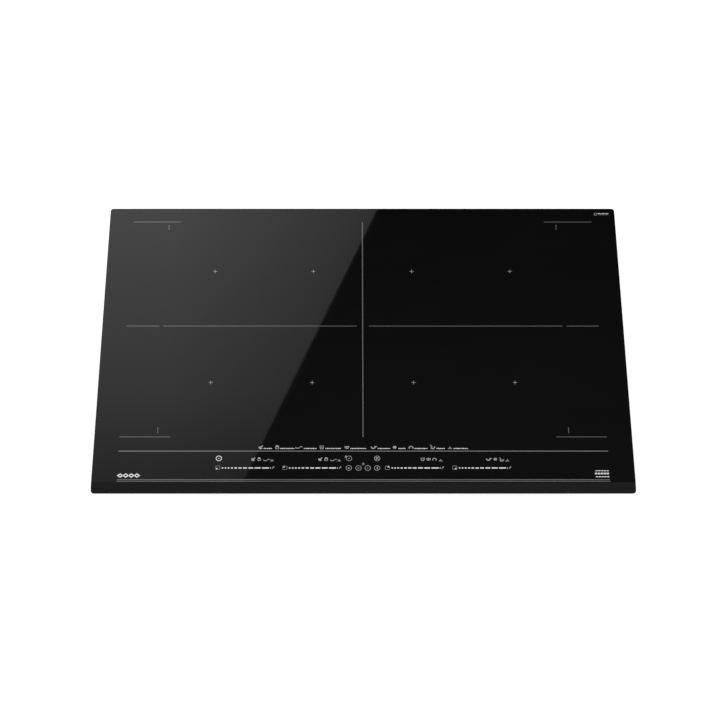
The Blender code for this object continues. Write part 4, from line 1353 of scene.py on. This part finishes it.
def screw_head(centre, low, high, radius, socket):
    """A flanged head: rings from the floor of a six-sided socket, out over its mouth and up the flange."""
    outer = [(radius * 0.86, low), (radius * 0.98, low + 0.3 * MM), (radius, low + 1.0 * MM),
             (radius, high - 0.5 * MM), (radius * 0.96, high)]
    rings = [at_height(six_sided(socket * 0.98, socket, 24), low + 2.2 * MM),
             at_height(six_sided(socket, socket * 1.1, 24), low)]
    rings += [at_height(circle_outline(r, steps=24), z) for r, z in outer]
    return moved(stack(rings), centre)


HEAD_TALL, HEAD_RADIUS, SOCKET = 4 * MM, 5.5 * MM, 2.2 * MM
for clamp in CLAMPS:
    low, high = box_of(f"clamp_screw_{clamp}")
    centre, head_high = (low + high)[:2] / 2, low[2] + HEAD_TALL
    screw_part = merge(threaded_rod(centre, 2.35 * MM, 3.0 * MM, head_high - 0.2 * MM, high[2]),
                       screw_head(centre, low[2], head_high, HEAD_RADIUS, SOCKET))
    screw = make(f"threaded_screw_{clamp}", screw_part, SCREW_STEEL, "hob",
                 f"clamp_screw_{clamp}", 40.0)
print("screw faces", len(screw.data.polygons))


# %% Clamp arms
def arm_part(centre, box_low, box_high):
    """A stamped arm: an outline that sees its bore from every angle, with a bent tooth at the far end."""
    reach, wide = centre[1] - box_low[1], 6.5 * MM
    outline = rounded_outline(wide, (reach + wide) / 2, 5.6 * MM, (0.0, (wide - reach) / 2), 9)
    angle = np.arctan2(outline[:, 1], outline[:, 0])
    bore = 3.35 * MM * np.stack([np.cos(angle), np.sin(angle)], 1)
    plate_high = box_low[2] + 4 * MM
    body = band(outline, bore, box_low[2], plate_high, 0.5 * MM)
    rib = cuboid(np.array([-1.6 * MM, -reach + 9 * MM, plate_high - 0.2 * MM]),
                 np.array([1.6 * MM, -6.0 * MM, plate_high + 0.9 * MM]), 0.5 * MM)
    tooth = cuboid(np.array([-5.0 * MM, -reach + 2 * MM, plate_high - 0.5 * MM]),
                   np.array([5.0 * MM, -reach + 5.6 * MM, box_high[2]]), 0.8 * MM)
    return moved(merge(body, rib, tooth), centre)


for clamp in CLAMPS:
    screw_low, screw_high = box_of(f"clamp_screw_{clamp}")
    arm_low, arm_high = box_of(f"clamp_arm_{clamp}")
    arm = make(f"stamped_arm_{clamp}", arm_part((screw_low + screw_high)[:2] / 2, arm_low, arm_high),
               ZINC, f"clamp_{clamp}", f"clamp_arm_{clamp}")
print("arm faces", len(arm.data.polygons))

# %% [markdown]
# ## Coils on their decks
#
# A coil is one long litz bundle wound flat, from an oval core outwards. The path is a rounded
# rectangle whose half sizes and corner radius grow steadily with the angle, so that each turn lies
# beside the last. The bundle's section is round, and an attribute carries the way along it and the
# way round it to the finish, which draws the lay of the twisted wires.

# %% The winding path
STRAND, STRAND_TALL = 1.35 * MM, 1.45 * MM
STRAND_SIDES = 8
TURNS = 16
STEPS_PER_TURN = 64
CORE_X, CORE_Y, CORE_CORNER, COIL_GROWTH = 24 * MM, 41 * MM, 22 * MM, 46 * MM


def oval_points(share, half_x, half_y, radius):
    """The point a share of the way round a rounded rectangle, whose four sides and four quarter circles
    each take their part of its length."""
    side_x, side_y, arc = 2 * (half_x - radius), 2 * (half_y - radius), np.pi * radius / 2
    total = 2 * (side_x + side_y) + 4 * arc
    way = (share % 1.0) * total
    x, y = np.zeros_like(way), np.zeros_like(way)
    start = np.zeros_like(way)
    corners = ((1, 1, 0.0), (-1, 1, 0.5), (-1, -1, 1.0), (1, -1, 1.5))
    for number, (sign_x, sign_y, turn) in enumerate(corners):
        straight = side_y if number % 2 == 0 else side_x
        on_side = (way >= start) & (way < start + straight)
        step = way - start - straight / 2
        if number % 2 == 0:
            x, y = np.where(on_side, sign_x * half_x, x), np.where(on_side, sign_x * step, y)
        else:
            x, y = np.where(on_side, -sign_y * step, x), np.where(on_side, sign_y * half_y, y)
        start = start + straight
        on_arc = (way >= start) & (way < start + arc)
        angle = turn * np.pi + (way - start) / radius
        x = np.where(on_arc, sign_x * (half_x - radius) + radius * np.cos(angle), x)
        y = np.where(on_arc, sign_y * (half_y - radius) + radius * np.sin(angle), y)
        start = start + arc
    return x, y


def winding(number):
    """A spiral: at turn t the oval has grown by t times the pitch, from the core to the rim. A second
    layer runs back over the first."""
    low, high, middle, half = box_middle(f"coil_winding_{number}")
    turn = np.linspace(0.0, TURNS, TURNS * STEPS_PER_TURN + 1)
    grown = turn / TURNS * (COIL_GROWTH - 2 * STRAND)
    x, y = oval_points(turn, CORE_X + STRAND + grown, CORE_Y + STRAND + grown, CORE_CORNER + 0.78 * grown)
    path = np.stack([middle[0] + x, middle[1] + y, np.full_like(x, low[2] + 1.5 * MM)], 1)
    section = circle_outline(1.0, steps=STRAND_SIDES) * np.array([STRAND, STRAND_TALL])
    upper = path + np.array([0.0, 0.0, high[2] - low[2] - 3.0 * MM])
    lower_part, upper_part = sweep(path, section), sweep(upper[::-1], section)
    along = np.concatenate([[0.0], np.cumsum(np.linalg.norm(np.diff(path, axis=0), axis=1))])
    around = np.arange(STRAND_SIDES) / STRAND_SIDES
    strand = np.stack([np.repeat(along, STRAND_SIDES), np.tile(around, len(path)),
                       np.zeros(STRAND_SIDES * len(path))], 1)
    return merge(lower_part, upper_part), np.concatenate([strand, strand])


for number in range(1, 9):
    part, strand = winding(number)
    deck = "coil_deck_left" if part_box(f"coil_winding_{number}")[0][0] < 0 else "coil_deck_right"
    coil = make(f"litz_winding_{number}", part, LITZ, deck, f"coil_winding_{number}", 60.0)
    coil.data.attributes.new("strand", "FLOAT_VECTOR", "POINT").data.foreach_set("vector", strand.ravel())
print("winding faces", len(coil.data.polygons), "bundle length in m", round(float(strand[:, 0].max()), 2))

# %% [markdown]
# ## Ferrite bars and deck springs
#
# Ferrite under a coil turns its field upwards. The bars lie in the windows of each former. The decks
# are pressed against the glass by leaf springs, which flatten when a deck goes down.

# %% Ferrite bars
BAR_COLUMNS, BAR_ROWS = (-48, -38, -28, 28, 38, 48), (-45, 45)
BAR_HALF_X, BAR_HALF_Y, BAR_GAP_Z = 4 * MM, 24 * MM, 0.2 * MM
for side_name, numbers in (("left", (1, 2, 5, 6)), ("right", (3, 4, 7, 8))):
    bars = []
    for number in numbers:
        low, high, middle, half = box_middle(f"coil_former_{number}")
        for column in BAR_COLUMNS:
            for row in BAR_ROWS:
                x, y = middle[0] + column * MM, middle[1] + row * MM
                bars.append(cuboid(np.array([x - BAR_HALF_X, y - BAR_HALF_Y, low[2] + BAR_GAP_Z]),
                                   np.array([x + BAR_HALF_X, y + BAR_HALF_Y, high[2] - BAR_GAP_Z]), 0.4 * MM))
    make(f"ferrite_bars_{side_name}", merge(*bars), FERRITE, f"coil_deck_{side_name}")
print("ferrite bars in each deck", len(bars))

# %% Leaf springs
SPRING_THICK = 0.8 * MM
# The crown is level over the first share of each half, and the flank then falls over the second share.
CROWN_SHARE, FLANK_SHARE = 14 / 62, 34 / 62
for side_name in ("left", "right"):
    for where in ("inner", "outer"):
        name = f"deck_spring_{side_name}_{where}"
        low, high, middle, half = box_middle(name)
        way = np.linspace(-1.0, 1.0, 49)
        rise = 0.5 * (1 + np.cos(np.pi * np.clip((np.abs(way) - CROWN_SHARE) / FLANK_SHARE, 0.0, 1.0)))
        z = low[2] + SPRING_THICK / 2 + rise * (high[2] - low[2] - SPRING_THICK)
        path = np.stack([np.full_like(way, middle[0]), middle[1] + way * half[1], z], 1)
        strip = rounded_outline(half[0], SPRING_THICK / 2, 0.3 * MM, steps=2)
        spring = make(f"leaf_{name}", sweep(path, strip), SPRING_STEEL, "hob", name)
        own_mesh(spring)
print("spring rise in mm", round(float(high[2] - low[2]) / MM, 1))

# %% [markdown]
# ## Blowers
#
# A radial blower throws air outwards with blades that curve forwards. Each blade is a thin closed
# slab that leans forwards more and more towards its tip, and one array of angles sets all of them
# round the hub at once.

# %% Rotors
BLADE_COUNT = 30


def blades(inner, outer, low, high, thick):
    """Blade b at share s: radius runs from inner to outer while its angle leads by 0.32 s squared."""
    share = np.linspace(0.0, 1.0, 6)
    radius = inner + (outer - inner) * share
    start = np.arange(BLADE_COUNT)[:, None] * 2 * np.pi / BLADE_COUNT
    angle = start + 0.32 * share[None, :] ** 2
    lead = angle + thick / radius[None, :]
    outlines = np.concatenate([np.stack([radius * np.cos(angle), radius * np.sin(angle)], -1),
                               np.stack([radius * np.cos(lead), radius * np.sin(lead)], -1)[:, ::-1]], 1)
    return merge(*[prism(outline, low, high) for outline in outlines])


def hub_profile(low, high):
    """A cone with a bore, which spreads into the disc that carries the blades: radii and heights."""
    return [(2.7 * MM, low + 1.0 * MM), (6.0 * MM, low + 1.0 * MM), (14.0 * MM, low + 5.0 * MM),
            (16.0 * MM, high - 3.5 * MM), (42.8 * MM, high - 2.0 * MM), (42.8 * MM, high),
            (15.0 * MM, high), (13.0 * MM, high - 1.5 * MM), (12.0 * MM, low + 6.5 * MM),
            (5.0 * MM, low + 3.0 * MM), (2.7 * MM, low + 3.0 * MM), (2.7 * MM, low + 1.0 * MM)]


def rim_profile(low, thick):
    """A flat ring that ties the lower ends of the blades together."""
    return [(41.2 * MM, low), (42.9 * MM, low), (42.9 * MM, low + thick), (41.2 * MM, low + thick),
            (41.2 * MM, low)]


for side_name in ("left", "right"):
    low, high, middle, half = box_middle(f"fan_rotor_{side_name}")
    centre = (middle[0], middle[1], 0.0)
    ring = blades(31 * MM, 42.6 * MM, low[2] + 0.8 * MM, high[2] - 1.9 * MM, 0.9 * MM)
    hub = lathe(hub_profile(low[2], high[2]), centre, 48)
    rim = lathe(rim_profile(low[2], 1.6 * MM), centre, 48)
    wheel = merge(hub, rim, moved(ring, centre))
    rotor = make(f"blower_wheel_{side_name}", wheel, BLACK_PLASTIC, f"fan_{side_name}",
                 f"fan_rotor_{side_name}")
print("rotor faces", len(rotor.data.polygons))

# %% [markdown]
# ## Boards, heat sinks and the sheet below them
#
# The tall parts on the power boards are film capacitors, a choke and relays; on the filter board two
# chokes wound on rings. They are grouped by finish, one piece for each, and all stay inside the
# space that the solid boards hold.

# %% Carrier sheet
carrier_low, carrier_high = box_of("electronics_carrier")
sheet_low, sheet_high = floor_z + FLOOR_SHEET + 0.2 * MM, 3.3 * MM
sheet_middle, sheet_half = (carrier_low + carrier_high)[:2] / 2, (carrier_high - carrier_low)[:2] / 2
carrier_form = slab(rounded_outline(*sheet_half, 8 * MM, sheet_middle, 6), sheet_low, sheet_high, 0.2 * MM)
POST_FOOT, POST_RADIUS = 3.8 * MM, 3.0 * MM
POST_PLACES = ((138, -160), (282, -160), (138, 65), (282, 65), (52, -45), (52, 105))
post_profile = [(0.0, sheet_high - 0.2 * MM), (POST_FOOT, sheet_high - 0.2 * MM),
                (POST_RADIUS, sheet_high + 1.0 * MM), (POST_RADIUS, carrier_high[2]), (0.0, carrier_high[2])]
posts = [lathe(post_profile, (side * x * MM, y * MM, 0.0), 16) for side in (-1, 1) for x, y in POST_PLACES]
inlets = [upright_rod((side * FAN_X, FAN_Y), 36 * MM, -5 * MM, 10 * MM, 48) for side in (-1, 1)]
carrier_mesh = carve(carrier_form, [("DIFFERENCE", merge(*inlets)), ("UNION", merge(*posts))])
make_from_mesh("board_carrier_sheet", carrier_mesh, WHITE_PLASTIC, "hob",
               "electronics_carrier")
print("carrier faces", len(carrier_mesh.polygons))

# %% Makers for what stands on a board
BOARD_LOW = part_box("power_board_right")[0][2]
BOARD_HIGH = BOARD_LOW + 1.6 * MM
BOARD_CORNER = 2 * MM
SUNK = BOARD_HIGH - 0.2 * MM


def board_plate(half_x, half_y, middle):
    return slab(rounded_outline(half_x, half_y, BOARD_CORNER, middle, 4), BOARD_LOW, BOARD_HIGH, 0.15 * MM)


def block(x_range, y_range, high, edge=1.0):
    """A block that stands a little way in the board; the numbers are in mm."""
    low = np.array([x_range[0] * MM, y_range[0] * MM, SUNK])
    return cuboid(low, mm(x_range[1], y_range[1], high), edge * MM)


def flat_can(centre, radius, high):
    """An upright can with a rolled shoulder and a shallow dished top; the numbers are in mm."""
    r, top = radius * MM, high * MM
    profile = [(0.0, SUNK), (r, SUNK), (r, top - 1.0 * MM), (r - 0.8 * MM, top), (r - 1.6 * MM, top),
               (r - 2.0 * MM, top - 0.4 * MM), (0.0, top - 0.4 * MM)]
    return lathe(profile, (centre[0] * MM, centre[1] * MM, 0.0), 28)


def ring_core(centre, bore, rim, chamfer, high, steps):
    """A ring that lies on the board, with its outer edges broken by so much; the numbers are in mm."""
    shoulder, rise = (rim - chamfer[0]) * MM, chamfer[1] * MM
    return lathe([(bore * MM, BOARD_HIGH), (shoulder, BOARD_HIGH), (rim * MM, BOARD_HIGH + rise),
                  (rim * MM, high * MM - rise), (shoulder, high * MM), (bore * MM, high * MM),
                  (bore * MM, BOARD_HIGH)], (centre[0] * MM, centre[1] * MM, 0.0), steps)


def wound_ring(centre, inner, outer, low, high, turns, wire):
    """A wire that runs up the outside and down the bore of a ring, once for each of its turns."""
    share = np.linspace(0.0, 1.0, turns * 12 + 1)[:-1]
    loop, turn = share * turns * 2 * np.pi, share * 2 * np.pi
    middle_r, half_r = (outer + inner) / 2, (outer - inner) / 2
    radius = middle_r + half_r * np.clip(1.5 * np.cos(loop), -1, 1)
    z = (low + high) / 2 + (high - low) / 2 * np.clip(1.5 * np.sin(loop), -1, 1)
    path = np.stack([centre[0] + radius * np.cos(turn), centre[1] + radius * np.sin(turn), z], 1)
    return sweep(path, circle_outline(wire, steps=6), up=(0.31, 0.22, 0.92), closed=True)


print("board makers ready")

# %% Power boards
# The parts are placed for the right board, and the left one is its mirror image.
CAPACITOR_X, RELAY_X, CHIP_X = (140.5, 164.5), (172.5, 189.5), (270.5, 283.5)
capacitors = [block(CAPACITOR_X, span, 33.8) for span in ((-149.5, -110.5), (-94.5, -55.5))]
relays = [block(RELAY_X, span, 27.5, 0.5) for span in ((-149.5, -130), (-127, -107.5), (-104.5, -85.5))]
relays.append(block((145.5, 179.5), (30.5, 49.5), 21.5, 0.5))
chips = [block(CHIP_X, (y, y + 15), 14.0, 0.3) for y in (-119, -98, -77, -56, -35, -14)]
cans = [flat_can((x, -43), 4.6, 22) for x in (150, 162, 174, 186)]
CHOKE = (165.0, -10.0)
choke_core = ring_core(CHOKE, 8, 21.5, (1.5, 2), 28, 36)
choke_wire = wound_ring(mm(*CHOKE), 9.0 * MM, 20.4 * MM, BOARD_HIGH + 1.2 * MM, 28.6 * MM, 22, 0.8 * MM)
power_plate = board_plate(80 * MM, 122.5 * MM, (210 * MM, -47.5 * MM))
groups = (("capacitors", capacitors, CREAM), ("relays", relays + chips, BLACK_PLASTIC),
          ("cans", cans, ALUMINIUM), ("choke_core", [choke_core], FERRITE),
          ("choke_wire", [choke_wire], COPPER))
for side_name, flip in (("left", mirror_x), ("right", lambda part: part)):
    make(f"power_board_plate_{side_name}", flip(power_plate), BOARD, "hob",
         f"power_board_{side_name}")
    for label, parts, finish_of_piece in groups:
        make(f"board_{label}_{side_name}", flip(merge(*parts)), finish_of_piece, "hob")
print("parts on each power board", len(capacitors) + len(relays) + len(chips) + len(cans) + 1)

# %% Filter board
make("filter_board_plate", board_plate(60 * MM, 85 * MM, (0.0, 30 * MM)), BOARD, "hob",
     "filter_board")
filter_capacitors = [block((-44.5, -15.5), (60.5, 94.5), 35.6), block((5.5, 34.5), (60.5, 94.5), 35.6),
                     block((-44.5, -18.5), (10.5, 29.5), 27.5), block((0.5, 26.5), (10.5, 29.5), 27.5)]
terminal_row = [block((x, x + 10.5), (-44.5, -35.5), 17.8, 0.6) for x in range(-44, 44, 11)]
FILTER_CHOKES = ((-26, -12), (26, -12))
cores = [ring_core(place, 5.5, 12, (1, 1), 25, 28) for place in FILTER_CHOKES]
wires = [wound_ring(mm(*place), 5.6 * MM, 12.2 * MM, BOARD_HIGH + 0.9 * MM, 25.8 * MM, 18, 0.7 * MM)
         for place in FILTER_CHOKES]
for label, parts, finish_of_piece in (("capacitors", filter_capacitors, CREAM),
                                      ("terminal_row", terminal_row, BLACK_PLASTIC),
                                      ("choke_cores", cores, FERRITE), ("choke_wires", wires, COPPER)):
    make(f"filter_{label}", merge(*parts), finish_of_piece, "hob")
print("filter board parts", len(filter_capacitors) + len(terminal_row) + len(cores))

# %% Terminal clamps
# A clamp cage stands in each bay, with the head of its screw just under the block's back edge.
TERMINALS, TERMINAL_PITCH = 5, 12.5 * MM
CAGE_Y, CAGE_Z = (217.6 * MM, 222.5 * MM), (12.6 * MM, 23.4 * MM)
HEAD_PROFILE = [(0.0, -1.5 * MM), (2.4 * MM, -1.5 * MM), (2.4 * MM, 0.6 * MM), (1.9 * MM, 1.2 * MM),
                (0.0, 1.2 * MM)]
terminals = []
for way in range(TERMINALS):
    x = LID_X + (way - 2) * TERMINAL_PITCH
    terminals.append(cuboid(np.array([x - 4.0 * MM, CAGE_Y[0], CAGE_Z[0]]),
                            np.array([x + 4.0 * MM, CAGE_Y[1], CAGE_Z[1]]), 0.5 * MM))
    terminals.append(lathe(HEAD_PROFILE, (x, 223.6 * MM, 18.0 * MM), 16, "y"))
make("terminal_clamps", merge(*terminals), BRASS, "hob")
print("terminals", len(terminals) // 2)
